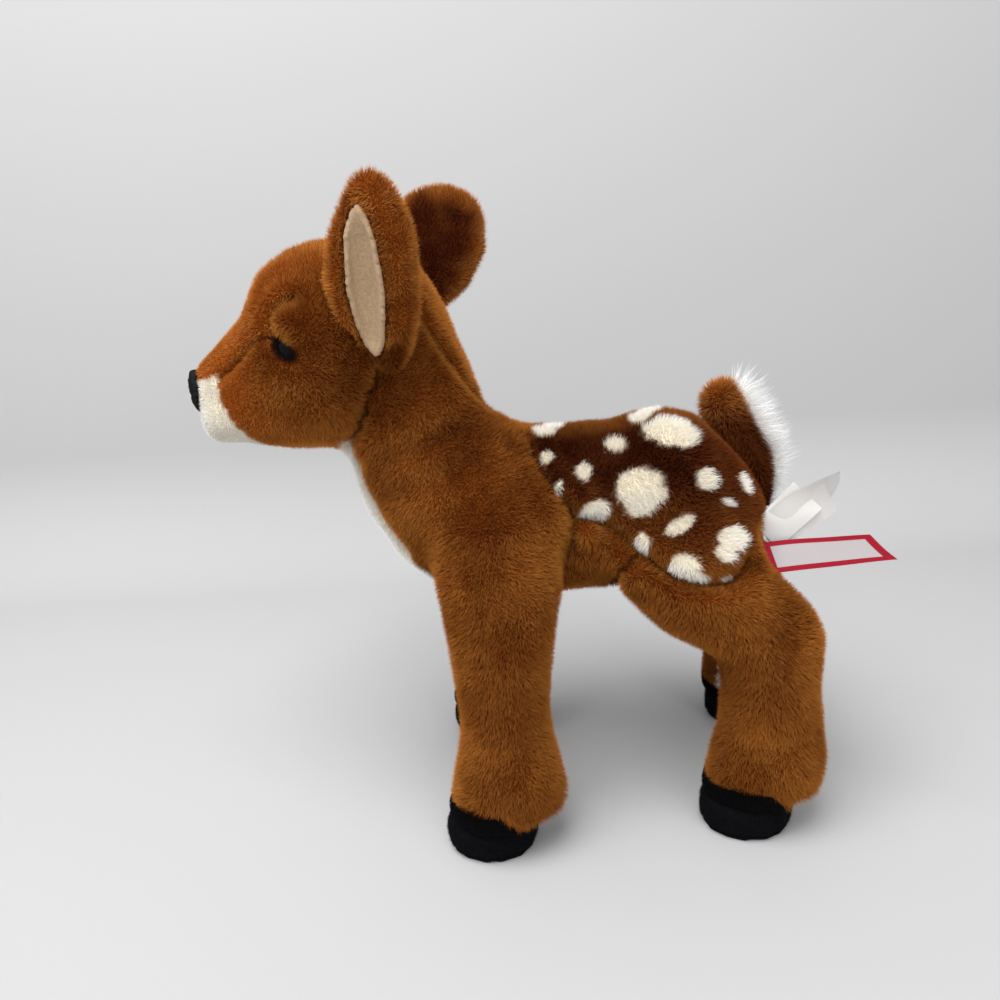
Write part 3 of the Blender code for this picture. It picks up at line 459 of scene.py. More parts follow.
# %% [markdown]
# ### Cream cloth
# The muzzle, the chest strip, the belly and the insides of the legs are sewn from cream plush. Their
# edges could be the edges of pieces, but a colour worked out at each point can end along a seam
# anywhere on the skin, and its edge can wander a little, as the edge of real pile does.

# %% Mark the cream cloth
CREAM_EDGE = (-0.0005, 0.0015)
CREAM_WANDER = 0.0012
CREAM_HALF = 0.021
CREAM_NARROWING = 0.008
CREAM_NARROWING_ENDS = (-0.040, -0.010)
THROAT_NARROWING = 0.003
THROAT_HEIGHTS = (0.150, 0.175)
LEG_MIDDLES = (0.052, 0.049)
LEG_SPLAY = 0.10
LEG_SPLAY_HEIGHT = 0.07
LEG_CREAM_INSET = 0.010
LEG_CREAM_TOP = 0.139
BELLY_ENDS = (0.026, 0.036)
BELLY_DROP = 0.035


def at_front(points):
    """Return which points are nearer to the front legs than to the rear ones."""
    return points[:, 0] < (SHOULDER[0] + HIP[0]) / 2


def cream_cover(points):
    """Return 1 on the muzzle, chest, belly and inner legs, 0 elsewhere."""
    edge = wobble(points, 0.004, 5) * CREAM_WANDER
    width = np.abs(points[:, 1])
    muzzle = ramp(in_outline(points, MUZZLE_CREAM) + edge, *CREAM_EDGE)
    half = CREAM_HALF - CREAM_NARROWING * ramp(points[:, 0], *CREAM_NARROWING_ENDS)
    half -= THROAT_NARROWING * ramp(points[:, 2], *THROAT_HEIGHTS)
    strip = np.minimum(in_outline(points, CHEST_CREAM) + edge, half - width + edge)
    chest = ramp(strip, *CREAM_EDGE)
    middle = np.where(at_front(points), *LEG_MIDDLES)
    middle = middle - LEG_SPLAY * np.maximum(0, points[:, 2] - LEG_SPLAY_HEIGHT)
    inner = middle - LEG_CREAM_INSET - width + edge
    between = ramp(points[:, 0], SHOULDER[0] + BELLY_ENDS[0], SHOULDER[0] + BELLY_ENDS[1])
    between *= 1 - ramp(points[:, 0], HIP[0] - BELLY_ENDS[1], HIP[0] - BELLY_ENDS[0])
    below = LEG_CREAM_TOP - BELLY_DROP * between - points[:, 2]
    legs = ramp(np.minimum(inner, below), *CREAM_EDGE) * (along_neck(points) < 0)
    return np.maximum(np.maximum(muzzle, chest), legs)


# %% [markdown]
# ### Every colour in one place
# The layers go on in order: brown and its patches, the crown's painted light, the dark saddle with
# painted shade round the tail and its spots, the cream cloth and the felt. The painted shade in a
# pressed seam and round the slit of an eye comes last.

# %% Put the colours together


def cloth_colour(points):
    """Return the pile's colour at points, as linear red, green and blue."""
    slow = wobble(points, 0.030, 1)
    quick = wobble(points, 0.005, 2)
    width = np.abs(points[:, 1])
    brown = blend_colours(BROWN, BROWN_DEEP, varied(DEEP_SHARES, slow, quick))
    brown = blend_colours(brown, BROWN_LIGHT, varied(LIGHT_SHARES, slow, quick))
    on_head = ramp(HEAD[0] - points[:, 0], *HEAD_START)
    # The crown is painted light: the top of the neck and head are paler where the lamp above lights them
    lit_crown = ramp(along_neck(points), *CROWN_START)
    lit_crown = lit_crown * (1 - ramp(width - CROWN_WIDENING * on_head, *CROWN_WIDTHS))
    brown = blend_colours(brown, BROWN_LIGHT, lit_crown * (LIT_CROWN_SHARES[0] + LIT_CROWN_SHARES[1] * on_head))
    height = points[:, 2] + SADDLE_SLOPE * ramp(points[:, 0], *SADDLE_SLOPE_ENDS)
    dark = ramp(height + SADDLE_WANDER * slow, *SADDLE_FADE)
    dark = dark * from_floor(SPINE_DARK, ramp(width, *SPINE_WIDTHS))
    # Round the tail's root the saddle darkens further: mostly painted shade where the tail meets the
    # rump, partly darker print
    dark = np.maximum(dark, 1 - ramp(np.linalg.norm(points - TAIL_ROOT, axis=1), *TAIL_SHADE))
    saddle = blend_colours(brown, SADDLE_DARK, varied(SADDLE_SHARES, dark, quick))
    inside = in_outline(points, SADDLE) + SADDLE_EDGE_WANDER * quick
    colour = blend_colours(brown, saddle, ramp(inside, *SADDLE_EDGE))
    colour = blend_colours(colour, CREAM, spot_cover(points) * ramp(inside, *SPOT_MARGIN))
    cream = CREAM * (1 + CREAM_MOTTLE * quick - MUZZLE_SHADE * on_head)[:, None]
    colour = blend_colours(colour, cream, cream_cover(points))
    colour = blend_colours(colour, FELT_COLOUR, below_cuff(points))
    shade = 1 - SEAM_SHADE * near_seam(points, SEAM_SHADE_SHARE)
    shade = shade * from_floor(SLIT_DARK, ramp(eye_reach(points), *SLIT_EDGE))
    return colour * shade[:, None]


def shaded_root_colour(colour):
    """Return a strand's colour at its root: painted shade makes it deeper and more saturated, most of all
    in brown pile.
    """
    return np.maximum(colour, 1e-4) ** ROOT_SHADE_POWER


def lit_tip_colour(colour):
    """Return a strand's colour at its tip, paler and yellower than the strand, as painted light."""
    return np.minimum(colour * TIP_LIGHT_GAIN + TIP_LIGHT_YELLOWING * colour[:, :1], TIP_BRIGHTEST)


# %% [markdown]
# ## Length and nap of the pile
# Pile is shorn close on the muzzle and round the eyes, is longest at the cuffs above the hooves, and
# leans the way it was brushed: back along the head and body, and down the legs.

# %% Work out the pile's length at any point
BODY_PILE = 0.0048
MUZZLE_PILE = 0.0020
MUZZLE_SHORN = (0.030, 0.072)
CUFF_PILE = 0.0058
CUFF_PILE_DEPTHS = (-0.045, -0.025)
EYE_PX = (283, 350)
EYE_CLEAR = 0.012
LID_LEAN = 0.9
LID_SHORTEST = 0.06
LID_SHORN = (0.80, 1.45)
SLIT_ALONG = np.array((0.80, 0.0, -0.60))
SLIT_ACROSS = np.array((0.60, 0.0, 0.80))
SLIT_SIZE = (0.0072, 0.0043)
SLIT_EDGE = (0.85, 1.35)
SLIT_DARK = 0.06
# Every pressed seam's points, width and strength, by name, once the seams are found
SEAM_LINES = {}
SEAM_CORE = 0.2
SEAM_SHORTENING = 0.55
SEAM_PILE_SHARE = 1.0
SOLES = np.array([np.mean(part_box(f"hoof_sole_{leg}"), axis=0) for leg in LEGS])
CUFF_HEIGHT = 0.0275
CUFF_SIDE = (0.004, 0.018)
CUFF_SIDE_RISE = 0.0035
CUFF_REAR = (0.002, 0.020)
CUFF_REAR_DROP = 0.013
CUFF_EDGE = 0.0006
FELT_NAP = 0.0011

eye_place, _, _ = on_skin(*EYE_PX)
EYES = [np.array(eye_place) * (1, side, 1) for side in (1, -1)]
print("the eye shows at", [round(value / MM) for value in EYES[0]], "mm")


def eye_reach(points):
    """Return how far points lie from the slit of the nearer eye: 1 is the slit's own edge."""
    reach = np.full(len(points), np.inf)
    for eye in EYES:
        offset = points - eye
        along = offset @ SLIT_ALONG / SLIT_SIZE[0]
        across = offset @ SLIT_ACROSS / SLIT_SIZE[1]
        beyond = (np.abs(offset[:, 1]) > EYE_CLEAR) * 100
        reach = np.minimum(reach, np.hypot(along, across) + beyond)
    return reach


def near_seam(points, share):
    """Return 1 on a pressed seam and 0 at a share of its width away from it or more."""
    cover = np.zeros(len(points))
    for line, width, strength in SEAM_LINES.values():
        reach = share * width
        low, high = line.min(axis=0) - reach, line.max(axis=0) + reach
        near = np.all((points > low) & (points < high), axis=1)
        if near.any():
            away = np.linalg.norm(points[near][:, None, :] - line[None, :, :], axis=2).min(axis=1)
            cover[near] = np.maximum(cover[near], strength * (1 - ramp(away, SEAM_CORE * reach, reach)))
    return cover


def below_cuff(points):
    """Return 1 on the felt below the edge of a cuff and 0 on the plush above it."""
    away = np.linalg.norm(points[:, None, :2] - SOLES[None, :, :2], axis=2)
    sole = SOLES[away.argmin(axis=1)]
    side = ramp(np.abs(points[:, 1]) - np.abs(sole[:, 1]), *CUFF_SIDE)
    rear = ramp(points[:, 0] - sole[:, 0], *CUFF_REAR)
    edge = CUFF_HEIGHT + CUFF_SIDE_RISE * side - CUFF_REAR_DROP * rear
    return 1 - ramp(points[:, 2] - edge, -CUFF_EDGE, CUFF_EDGE)


def pile_length(points):
    """Return how long the pile is at points, in metres."""
    length = np.full(len(points), BODY_PILE)
    length -= (BODY_PILE - MUZZLE_PILE) * ramp(HEAD[0] - points[:, 0], *MUZZLE_SHORN)
    length += (CUFF_PILE - BODY_PILE) * ramp(-points[:, 2], *CUFF_PILE_DEPTHS)
    length *= from_floor(LID_SHORTEST, ramp(eye_reach(points), *LID_SHORN))
    length *= 1 - SEAM_SHORTENING * near_seam(points, SEAM_PILE_SHARE)
    return length + (FELT_NAP - length) * below_cuff(points)


# %% [markdown]
# ### The nap
# Brushing sets the lean of the pile. One lean each for the body, the legs and the head would leave
# hard borders, so they fade into each other, and slow noise turns them, as handling does. Above an
# eye the lid's pile leans down over it.

# %% Work out which way the pile leans
BODY_LEAN = np.array((0.24, 0.0, -0.26))
LEG_LEAN = np.array((0.03, 0.0, -0.30))
HEAD_LEAN = np.array((0.30, 0.0, 0.05))
HEAD_NAP_START = (0.015, 0.045)
LEG_NAP_DEPTHS = (-0.150, -0.120)
LID_REACH = (0.6 * EYE_CLEAR, 1.5 * EYE_CLEAR)
LID_ABOVE = (-0.002, 0.004)
NAP_WANDER = 0.30


def nap(points):
    """Return the direction in which the pile leans at points."""
    lean = np.zeros_like(points)
    on_head = ramp(along_neck(points), *HEAD_NAP_START)[:, None]
    on_leg = ramp(-points[:, 2], *LEG_NAP_DEPTHS)[:, None]
    lean += BODY_LEAN * (1 - on_head) * (1 - on_leg)
    lean += LEG_LEAN * on_leg
    lean += HEAD_LEAN * on_head
    for eye in EYES:
        toward = eye - points
        away = np.linalg.norm(toward, axis=1)
        lid = (1 - ramp(away, *LID_REACH)) * ramp(-toward[:, 2], *LID_ABOVE)
        lean += toward / np.maximum(away, 1e-6)[:, None] * (LID_LEAN * lid)[:, None]
    for axis in range(3):
        lean[:, axis] += NAP_WANDER * wobble(points, 0.022, 11 + axis)
    return lean


# %% [markdown]
# ## Seams and folds
# A stuffed toy's shape is drawn by its seams: the thread holds the cloth down and the filling swells
# on each side. Each seam is a chain of pixels of the photograph, found on the skin, and the skin is
# pressed in along it. A seam that only shows on the near side is mirrored to the far one.

# %% List the seams, folds and soft lobes
# Seams and folds: pixels along each, half width and depth in metres, and whether it is mirrored
SEAMS_PX = {
    "brow_fold": (((291, 299), (277, 302), (268, 313), (266, 325), (271, 337), (280, 343)),
                  0.0036, 0.0042, True),
    "bridge_seam": (((217, 376), (232, 364), (246, 347), (257, 338), (268, 334)),
                    0.0030, 0.0030, True),
    "cheek_seam": (((379, 372), (376, 385), (368, 398), (362, 415), (357, 430), (349, 444)),
                   0.0032, 0.0042, True),
    "upper_neck_crease": (((371, 465), (391, 454), (422, 441), (465, 425)), 0.0062, 0.0024, False),
    "lower_neck_crease": (((376, 500), (400, 487), (432, 472), (470, 452)), 0.0070, 0.0020, False),
    "nape_seam": (((420, 310), (442, 345), (466, 380), (492, 408)), 0.0032, 0.0040, True),
    "chest_seam": (((357, 465), (365, 495), (382, 525), (404, 552), (430, 577)),
                   0.0045, 0.0040, True),
    "shoulder_seam": (((532, 437), (538, 455), (544, 469), (553, 484), (563, 496), (572, 509),
                       (576, 520)), 0.0036, 0.0034, True),
    "haunch_seam": (((578, 516), (597, 522), (612, 532), (634, 549), (656, 566), (675, 578),
                     (699, 585), (726, 584), (743, 575), (752, 560)), 0.0044, 0.0062, True),
    "elbow_fold": (((564, 498), (569, 515), (571, 535), (570, 558), (567, 582)),
                   0.0042, 0.0056, True),
    "flank_crease": (((573, 518), (577, 536), (580, 554)), 0.0028, 0.0024, True),
    "thigh_fold": (((632, 550), (624, 568), (614, 584)), 0.0036, 0.0036, True),
}
# How strongly each soft fold shades its pile and shortens it, where a sewn seam has 1
FOLD_STRENGTHS = {
    "upper_neck_crease": 0.20, "lower_neck_crease": 0.16, "elbow_fold": 0.50, "flank_crease": 0.40,
    "haunch_seam": 0.75, "brow_fold": 0.65, "nape_seam": 0.55, "bridge_seam": 0.80,
}
SEAM_STEP = 0.002
# How high the cloth swells beside a seam, as a share of its depth, and how many half widths away
SWELL_SHARE = 0.28
SWELL_AWAY = 2.0
EYE_SOCKET = 0.0046
PILE_DEPTH = 0.72
# Lumps in the filling: height and breadth in metres, and the seed of the noise
LUMPS = ((0.0009, 0.026, 21), (0.0004, 0.011, 22))
# Soft lobes that the filling pushes out: pixel, half width and height in metres
LOBES_PX = (
    ((290, 321), 0.0085, 0.0036),
    ((262, 372), 0.0130, 0.0016),
    ((318, 400), 0.0200, 0.0015),
    ((219, 420), 0.0095, 0.0040),
)
CHIN_PX = (214, 434)
CHIN_WIDTH = 0.0105
CHIN_HEIGHT = 0.0062

# %% [markdown]
# ### From pixels to grooves
# A pixel alone has no depth. A ray from the camera through it meets the skin in one place, and these
# places are joined in short steps along the skin. Across a seam the groove is a bell curve with a low
# swelling on each side, as stuffed cloth has.

# %% Find the seams on the skin and shape their grooves


def seam_points(pixels, mirrored):
    """Return closely spaced points along a seam on the skin."""
    found = [np.array(place) for place, _, _ in (on_skin(x, y) for x, y in pixels) if place is not None]
    points = []
    for first, second in zip(found, found[1:]):
        count = max(2, int(np.linalg.norm(second - first) / SEAM_STEP))
        for i in range(count):
            near, _, _, _ = skin_tree.find_nearest(Vector(first + (second - first) * i / count))
            points.append(np.array(near))
    points.append(found[-1])
    if mirrored:
        points += [point * (1, -1, 1) for point in points]
    return np.array(points)


def press(points, line, width, depth):
    """Return how far a seam pushes each skin point along its normal, inwards in its middle."""
    distance = np.full(len(points), np.inf)
    for spot in line:
        distance = np.minimum(distance, np.linalg.norm(points - spot, axis=1))
    share = distance / width
    groove = -depth * np.exp(-share * share)
    return groove + SWELL_SHARE * depth * np.exp(-((share - SWELL_AWAY) ** 2))


def rows_of(items, field):
    """Return a vector field of a mesh's points or faces as an array with a row for each."""
    values = np.empty(len(items) * 3, np.float32)
    items.foreach_get(field, values)
    return values.reshape(-1, 3).astype(float)


def skin_arrays(piece):
    """Return an object's points and point normals as arrays."""
    return rows_of(piece.data.vertices, "co"), rows_of(piece.data.vertex_normals, "vector")


def set_points(piece, points):
    """Write an object's points back."""
    piece.data.vertices.foreach_set("co", points.astype(np.float32).ravel())
    piece.data.update()


def point_tree(points):
    """Return a tree for finding which point is nearest to a place."""
    tree = KDTree(len(points))
    for index, point in enumerate(points):
        tree.insert(point, index)
    tree.balance()
    return tree


# %% [markdown]
# ### Shape the skin
# All the pushes are added up before the skin moves, so that the order of the seams makes no
# difference. The skin also sinks by most of the pile's length, because the outline that the
# photograph shows is that of the pile's tips and not of the cloth.

# %% Press the seams and folds into the skin
skin_points, skin_normals = skin_arrays(toy_skin)
skin_places = point_tree(skin_points)
pushes = np.zeros(len(skin_points))
for seam_name, (pixels, width, depth, mirrored) in SEAMS_PX.items():
    seam_line = seam_points(pixels, mirrored)
    SEAM_LINES[seam_name] = (seam_line, width, FOLD_STRENGTHS.get(seam_name, 1.0))
    pushes += press(skin_points, seam_line, width, depth)
reach = eye_reach(skin_points)
pushes -= EYE_SOCKET * np.exp(-reach * reach)
for (x, y), width, height in LOBES_PX:
    lobe = np.array(on_skin(x, y)[0])
    for side in (1, -1):
        reach = np.linalg.norm(skin_points - lobe * (1, side, 1), axis=1) / width
        pushes += height * np.exp(-reach * reach)
chin_sight = sight_line(*CHIN_PX)
chin_place = CAMERA_PLACE - chin_sight * (CAMERA_PLACE.y / chin_sight.y)
chin = np.array(skin_tree.find_nearest(chin_place)[0])
reach = np.linalg.norm(skin_points - chin, axis=1) / CHIN_WIDTH
pushes += CHIN_HEIGHT * np.exp(-reach * reach)
lumps = sum(height * wobble(skin_points, breadth, seed) for height, breadth, seed in LUMPS)
pile_depth = PILE_DEPTH * pile_length(skin_points)
skin_points += skin_normals * (pushes + lumps - pile_depth)[:, None]
for seam_name, (seam_line, width, strength) in SEAM_LINES.items():
    grooves = [skin_places.find(point)[1] for point in seam_line]
    SEAM_LINES[seam_name] = (skin_points[grooves], width, strength)
set_points(toy_skin, skin_points)
smooth(toy_skin, 2, 0.3)
print("seams pressed:", len(SEAM_LINES))

# %% [markdown]
# ## A piece of skin for each moving part
# The skin is cut where the bodies meet: a leg's piece starts below the belly, and the head's above
# the neck.

# %% Cut the skin by body
LEG_BLEND = (0.129, 0.092)
LEG_INNER_HALF = 0.022
NECK_BLEND = (-0.010, 0.022)
NECK_LOWEST = 0.150
HEAD_BLEND = (0.022, 0.044)
BELLY_TOP = SHOULDER[2] * 0.80

# Joints that the skin spans, by body: the two bodies, and where a bend over the joint would start and end
BLENDS = {
    "neck": ("torso", "neck", *(tuple(NECK + NECK_AXIS * along) for along in NECK_BLEND)),
    "head": ("neck", "head", *(tuple(NECK + NECK_AXIS * along) for along in HEAD_BLEND)),
}
for leg in LEGS:
    x, y, _ = JOINTS[f"leg_{leg}_swing"]["pos_m"]
    BLENDS[f"leg_{leg}"] = ("torso", f"leg_{leg}", *((x, y, height) for height in LEG_BLEND))

# Regions of the skin: name, body, record slot and the frame's nodes that it stands for
REGIONS = {
    "back": ("torso", "spotted_plush", ("back_panel",)),
    "flank_left": ("torso", "brown_plush", ("flank_left", "body_stuffing")),
    "flank_right": ("torso", "brown_plush", ("flank_right",)),
    "belly": ("torso", "cream_plush", ("belly_panel",)),
    "neck": ("neck", "brown_plush", ("neck_cover", "throat_panel", "neck_stuffing")),
    "head_left": ("head", "brown_plush", ("head_side_left", "head_gusset", "muzzle_panel")),
    "head_right": ("head", "brown_plush", ("head_side_right", "head_stuffing")),
}
for leg in LEGS:
    nodes = (f"leg_outer_{leg}", f"leg_inner_{leg}", f"leg_stuffing_{leg}")
    REGIONS[f"leg_{leg}"] = (f"leg_{leg}", "brown_plush", nodes)


def region_of(points):
    """Return the name of the skin region that each point is in."""
    along = along_neck(points)
    left = points[:, 1] < 0
    width = np.abs(points[:, 1])
    names = np.where(left, "flank_left", "flank_right").astype("<U16")
    names[in_outline(points, SADDLE) > 0] = "back"
    names[(width < CREAM_HALF) & (points[:, 2] < BELLY_TOP)] = "belly"
    legs = (points[:, 2] < LEG_BLEND[0]) & (width > LEG_INNER_HALF)
    front = at_front(points)
    for end, at_end in (("front", front), ("rear", ~front)):
        for side, at_side in (("left", left), ("right", ~left)):
            names[legs & at_end & at_side] = f"leg_{end}_{side}"
    names[(along > NECK_BLEND[0]) & (points[:, 2] > NECK_LOWEST)] = "neck"
    names[(along > HEAD_BLEND[0]) & left] = "head_left"
    names[(along > HEAD_BLEND[0]) & ~left] = "head_right"
    return names


def cut_regions(piece):
    """Split the skin into one object for each region, sharing exact cut lines."""
    names = region_of(rows_of(piece.data.polygons, "center"))
    pieces = {}
    for region in REGIONS:
        shape = bmesh.new()
        shape.from_mesh(piece.data)
        gone = [face for face, name in zip(shape.faces, names) if name != region]
        bmesh.ops.delete(shape, geom=gone, context="FACES")
        pieces[region] = piece_from(f"skin_{region}", shape)
    return pieces


skin_pieces = cut_regions(toy_skin)
print({name: len(piece.data.polygons) for name, piece in skin_pieces.items()})

# %% [markdown]
# ## Pile
# One Geometry Nodes tree grows all the pile. It scatters points on a skin, stands a thin three-sided
# cone on each, leans it along the nap and turns the result into a plain mesh. Its inputs have names,
# so the same tree makes shorn pile on the muzzle and long wisps on the tail.

# %% Set the pile's sizes and help to build node trees
STRAND_SIDES = 3
STRAND_POINTS = STRAND_SIDES + 1
LENGTH_SEED = 7
SPIN_SEED = 9
PILE_DENSITY = 2.88e6
STRAND_WIDTH = 0.00036
UNEVENNESS = 0.35
RUFFLE = 0.38


def socket(tree, name, kind, default=None, output=False):
    """Add a named socket to a node tree's interface and return it."""
    side = "OUTPUT" if output else "INPUT"
    item = tree.interface.new_socket(name=name, in_out=side, socket_type=f"NodeSocket{kind}")
    if default is not None:
        item.default_value = default
    return item


def add_node(tree, kind, values=None, **settings):
    """Add a node, set it up, and give its inputs plain values or links from other nodes."""
    node = tree.nodes.new(kind)
    for name, value in settings.items():
        setattr(node, name, value)
    for key, value in (values or {}).items():
        if isinstance(value, bpy.types.NodeSocket):
            tree.links.new(value, node.inputs[key])
        else:
            node.inputs[key].default_value = value
    return node


def calculate(tree, operation, *values):
    """Add a Math node for an operation on values or sockets and return its result's socket."""
    return add_node(tree, "ShaderNodeMath", dict(enumerate(values)), operation=operation).outputs["Value"]


# %% [markdown]
# ### Turn and size the strands
# A strand needs a direction, a width and a length. The first comes from the `growth` attribute and
# the last from `pile_length`, both stored on the skin's points, where they are cheap to work out.
# Random values then ruffle and shorten single strands, from fixed seeds.

# %% Turn and size each strand


def turned_strands(tree, given):
    """Return the socket that turns each strand: along its growth, ruffled, and spun about itself."""
    growth = add_node(tree, "GeometryNodeInputNamedAttribute", {"Name": "growth"},
                      data_type="FLOAT_VECTOR")
    ruffle = add_node(tree, "FunctionNodeRandomValue", {
        "Min": (-1, -1, -1), "Max": (1, 1, 1), "Seed": given["Seed"],
    }, data_type="FLOAT_VECTOR")
    ruffled = add_node(tree, "ShaderNodeVectorMath", {
        0: ruffle.outputs["Value"], 1: given["Ruffle"], 2: growth.outputs["Attribute"],
    }, operation="MULTIPLY_ADD")
    lean = add_node(tree, "FunctionNodeAlignRotationToVector", {"Vector": ruffled.outputs["Vector"]},
                    axis="Z")
    spin = add_node(tree, "FunctionNodeRandomValue", {2: 0.0, 3: math.tau, "Seed": SPIN_SEED},
                    data_type="FLOAT")
    spun = add_node(tree, "FunctionNodeAxisAngleToRotation", {
        "Axis": (0, 0, 1), "Angle": spin.outputs[1],
    })
    turned = add_node(tree, "FunctionNodeRotateRotation", {
        "Rotation": lean.outputs["Rotation"], "Rotate By": spun.outputs["Rotation"],
    }, rotation_space="LOCAL")
    return turned.outputs["Rotation"]


def strand_sizes(tree, given):
    """Return the socket that scales each strand: its width, and its own share of the length."""
    length = add_node(tree, "GeometryNodeInputNamedAttribute", {"Name": "pile_length"}, data_type="FLOAT")
    uneven = add_node(tree, "FunctionNodeRandomValue", {
        2: calculate(tree, "SUBTRACT", 1.0, given["Unevenness"]), 3: 1.0, "Seed": LENGTH_SEED,
    }, data_type="FLOAT")
    tall = calculate(tree, "MULTIPLY", length.outputs["Attribute"], uneven.outputs[1])
    size = add_node(tree, "ShaderNodeCombineXYZ", {"X": given["Width"], "Y": given["Width"], "Z": tall})
    return size.outputs["Vector"]


# %% Build the tree that grows pile


def build_pile_tree():
    """Return the node tree that grows pile, and its inputs' identifiers by name."""
    tree = bpy.data.node_groups.new("grow_pile", "GeometryNodeTree")
    for name, kind, default in (("Geometry", "Geometry", None), ("Density", "Float", 1000.0),
                                ("Width", "Float", STRAND_WIDTH), ("Seed", "Int", 1),
                                ("Unevenness", "Float", UNEVENNESS), ("Ruffle", "Float", RUFFLE),
                                ("Material", "Material", None)):
        socket(tree, name, kind, default)
    socket(tree, "Geometry", "Geometry", output=True)
    given = tree.nodes.new("NodeGroupInput").outputs
    scatter = add_node(tree, "GeometryNodeDistributePointsOnFaces", {
        "Mesh": given["Geometry"], "Density": given["Density"], "Seed": given["Seed"],
    })
    place = add_node(tree, "GeometryNodeInputPosition")
    keep_root = add_node(tree, "GeometryNodeStoreNamedAttribute", {
        "Geometry": scatter.outputs["Points"], "Name": "root", "Value": place.outputs["Position"],
    }, data_type="FLOAT_VECTOR", domain="POINT")
    strand = add_node(tree, "GeometryNodeMeshCone", {
        "Vertices": STRAND_SIDES, "Side Segments": 1, "Radius Top": 0.0, "Radius Bottom": 0.5,
        "Depth": 1.0,
    }, fill_type="NONE")
    stand = add_node(tree, "GeometryNodeInstanceOnPoints", {
        "Points": keep_root.outputs["Geometry"], "Instance": strand.outputs["Mesh"],
        "Rotation": turned_strands(tree, given), "Scale": strand_sizes(tree, given),
    })
    realise = add_node(tree, "GeometryNodeRealizeInstances", {"Geometry": stand.outputs["Instances"]})
    paint = add_node(tree, "GeometryNodeSetMaterial", {
        "Geometry": realise.outputs["Geometry"], "Material": given["Material"],
    })
    add_node(tree, "NodeGroupOutput", {"Geometry": paint.outputs["Geometry"]})
    names = {item.name: item.identifier for item in tree.interface.items_tree if item.in_out == "INPUT"}
    return tree, names


PILE_TREE, PILE_INPUTS = build_pile_tree()


# %% [markdown]
# ### Grow it on a skin
# The tree runs on a copy of the skin, and its result is made a plain mesh at once, because the
# export keeps only plain meshes. Each strand takes its colour from the place of its root, which the
# tree has stored, so that the edge of a spot stays crisp.

# %% Grow pile on a skin


def store(piece, name, kind, values):
    """Write an attribute of an object's points."""
    attribute = piece.data.attributes.new(name, kind, "POINT")
    field = "vector" if kind == "FLOAT_VECTOR" else "value"
    attribute.data.foreach_set(field, np.asarray(values, np.float32).ravel())


def store_colour(piece, values):
    """Write the pile_colour attribute of an object's points."""
    colour = np.ones((len(values), 4), np.float32)
    colour[:, :3] = values
    layer = piece.data.color_attributes.new("pile_colour", "FLOAT_COLOR", "POINT")
    layer.data.foreach_set("color", colour.ravel())


def grow_pile(name, skin, material, density=PILE_DENSITY, width=STRAND_WIDTH, seed=1,
              unevenness=UNEVENNESS, ruffle=RUFFLE, lengths=None, leans=None, colours=cloth_colour):
    """Grow pile on a copy of a skin and return it as a plain mesh object."""
    grown = bpy.data.objects.new(name, skin.data.copy())
    bpy.context.scene.collection.objects.link(grown)
    points, normals = skin_arrays(grown)
    lean = nap(points) if leans is None else leans
    lean = lean - normals * np.sum(lean * normals, axis=1)[:, None]
    store(grown, "growth", "FLOAT_VECTOR", normals + lean)
    store(grown, "pile_length", "FLOAT", pile_length(points) if lengths is None else lengths)
    step = grown.modifiers.new("pile", "NODES")
    step.node_group = PILE_TREE
    inputs = {"Density": density * 1, "Width": width, "Seed": seed,
              "Unevenness": unevenness, "Ruffle": ruffle, "Material": material}
    for input_name, value in inputs.items():
        step[PILE_INPUTS[input_name]] = value
    apply_modifiers(grown)
    roots = rows_of(grown.data.attributes["root"].data, "vector")
    strands = colours(roots[::STRAND_POINTS])
    colour = np.repeat(shaded_root_colour(strands), STRAND_POINTS, axis=0)
    colour[::STRAND_POINTS] = lit_tip_colour(strands)
    store_colour(grown, colour)
    grown.data.attributes.remove(grown.data.attributes["root"])
    print(name, "triangles:", sum(len(face.vertices) - 2 for face in grown.data.polygons))
    return grown


# %% [markdown]
# ## Materials
# Strands and the cloth under them take their colour from the `pile_colour` attribute: deep at a
# strand's root, painted shade where its neighbours shade it, and paler at the tip, painted light
# where the tips catch the lamps.

# %% Make the materials
GRAIN_SCALE = 900.0
GRAIN_RANGE = (0.3, 0.7)


def add_bump(tree, shader, height, strength, distance):
    """Let a pattern's height tilt the normals that a shader sees."""
    bump = add_node(tree, "ShaderNodeBump", {
        "Height": height, "Strength": strength, "Distance": distance,
    })
    tree.links.new(bump.outputs["Normal"], shader.inputs["Normal"])


def cloth_material(name):
    """Return a plush material that reads its colour from the pile_colour attribute."""
    material, tree, shader = principled(name, {"Roughness": 0.9, "Specular IOR Level": 0.08})
    colour = add_node(tree, "ShaderNodeAttribute", attribute_name="pile_colour")
    tree.links.new(colour.outputs["Color"], shader.inputs["Base Color"])
    return material


def plain_material(name, colour, roughness, sheen=0.0, grain=0.0, specular=0.5):
    """Return a one-colour material, with fine mottling where grain is above zero."""
    material, tree, shader = principled(name, {
        "Base Color": (*colour, 1), "Roughness": roughness, "Sheen Weight": sheen,
        "Specular IOR Level": specular,
    })
    if grain > 0:
        place = add_node(tree, "ShaderNodeTexCoord")
        speckle = add_node(tree, "ShaderNodeTexNoise", {
            "Vector": place.outputs["Object"], "Scale": GRAIN_SCALE, "Detail": 3,
        }).outputs["Fac"]
        mottle = add_node(tree, "ShaderNodeMapRange", {
            "Value": speckle, "From Min": GRAIN_RANGE[0], "From Max": GRAIN_RANGE[1],
            "To Min": 1 - grain, "To Max": 1 + grain,
        })
        tinted = add_node(tree, "ShaderNodeVectorMath", {
            0: colour, "Scale": mottle.outputs["Result"],
        }, operation="SCALE")
        tree.links.new(tinted.outputs["Vector"], shader.inputs["Base Color"])
        add_bump(tree, shader, speckle, 0.35, 0.0006)
    return material


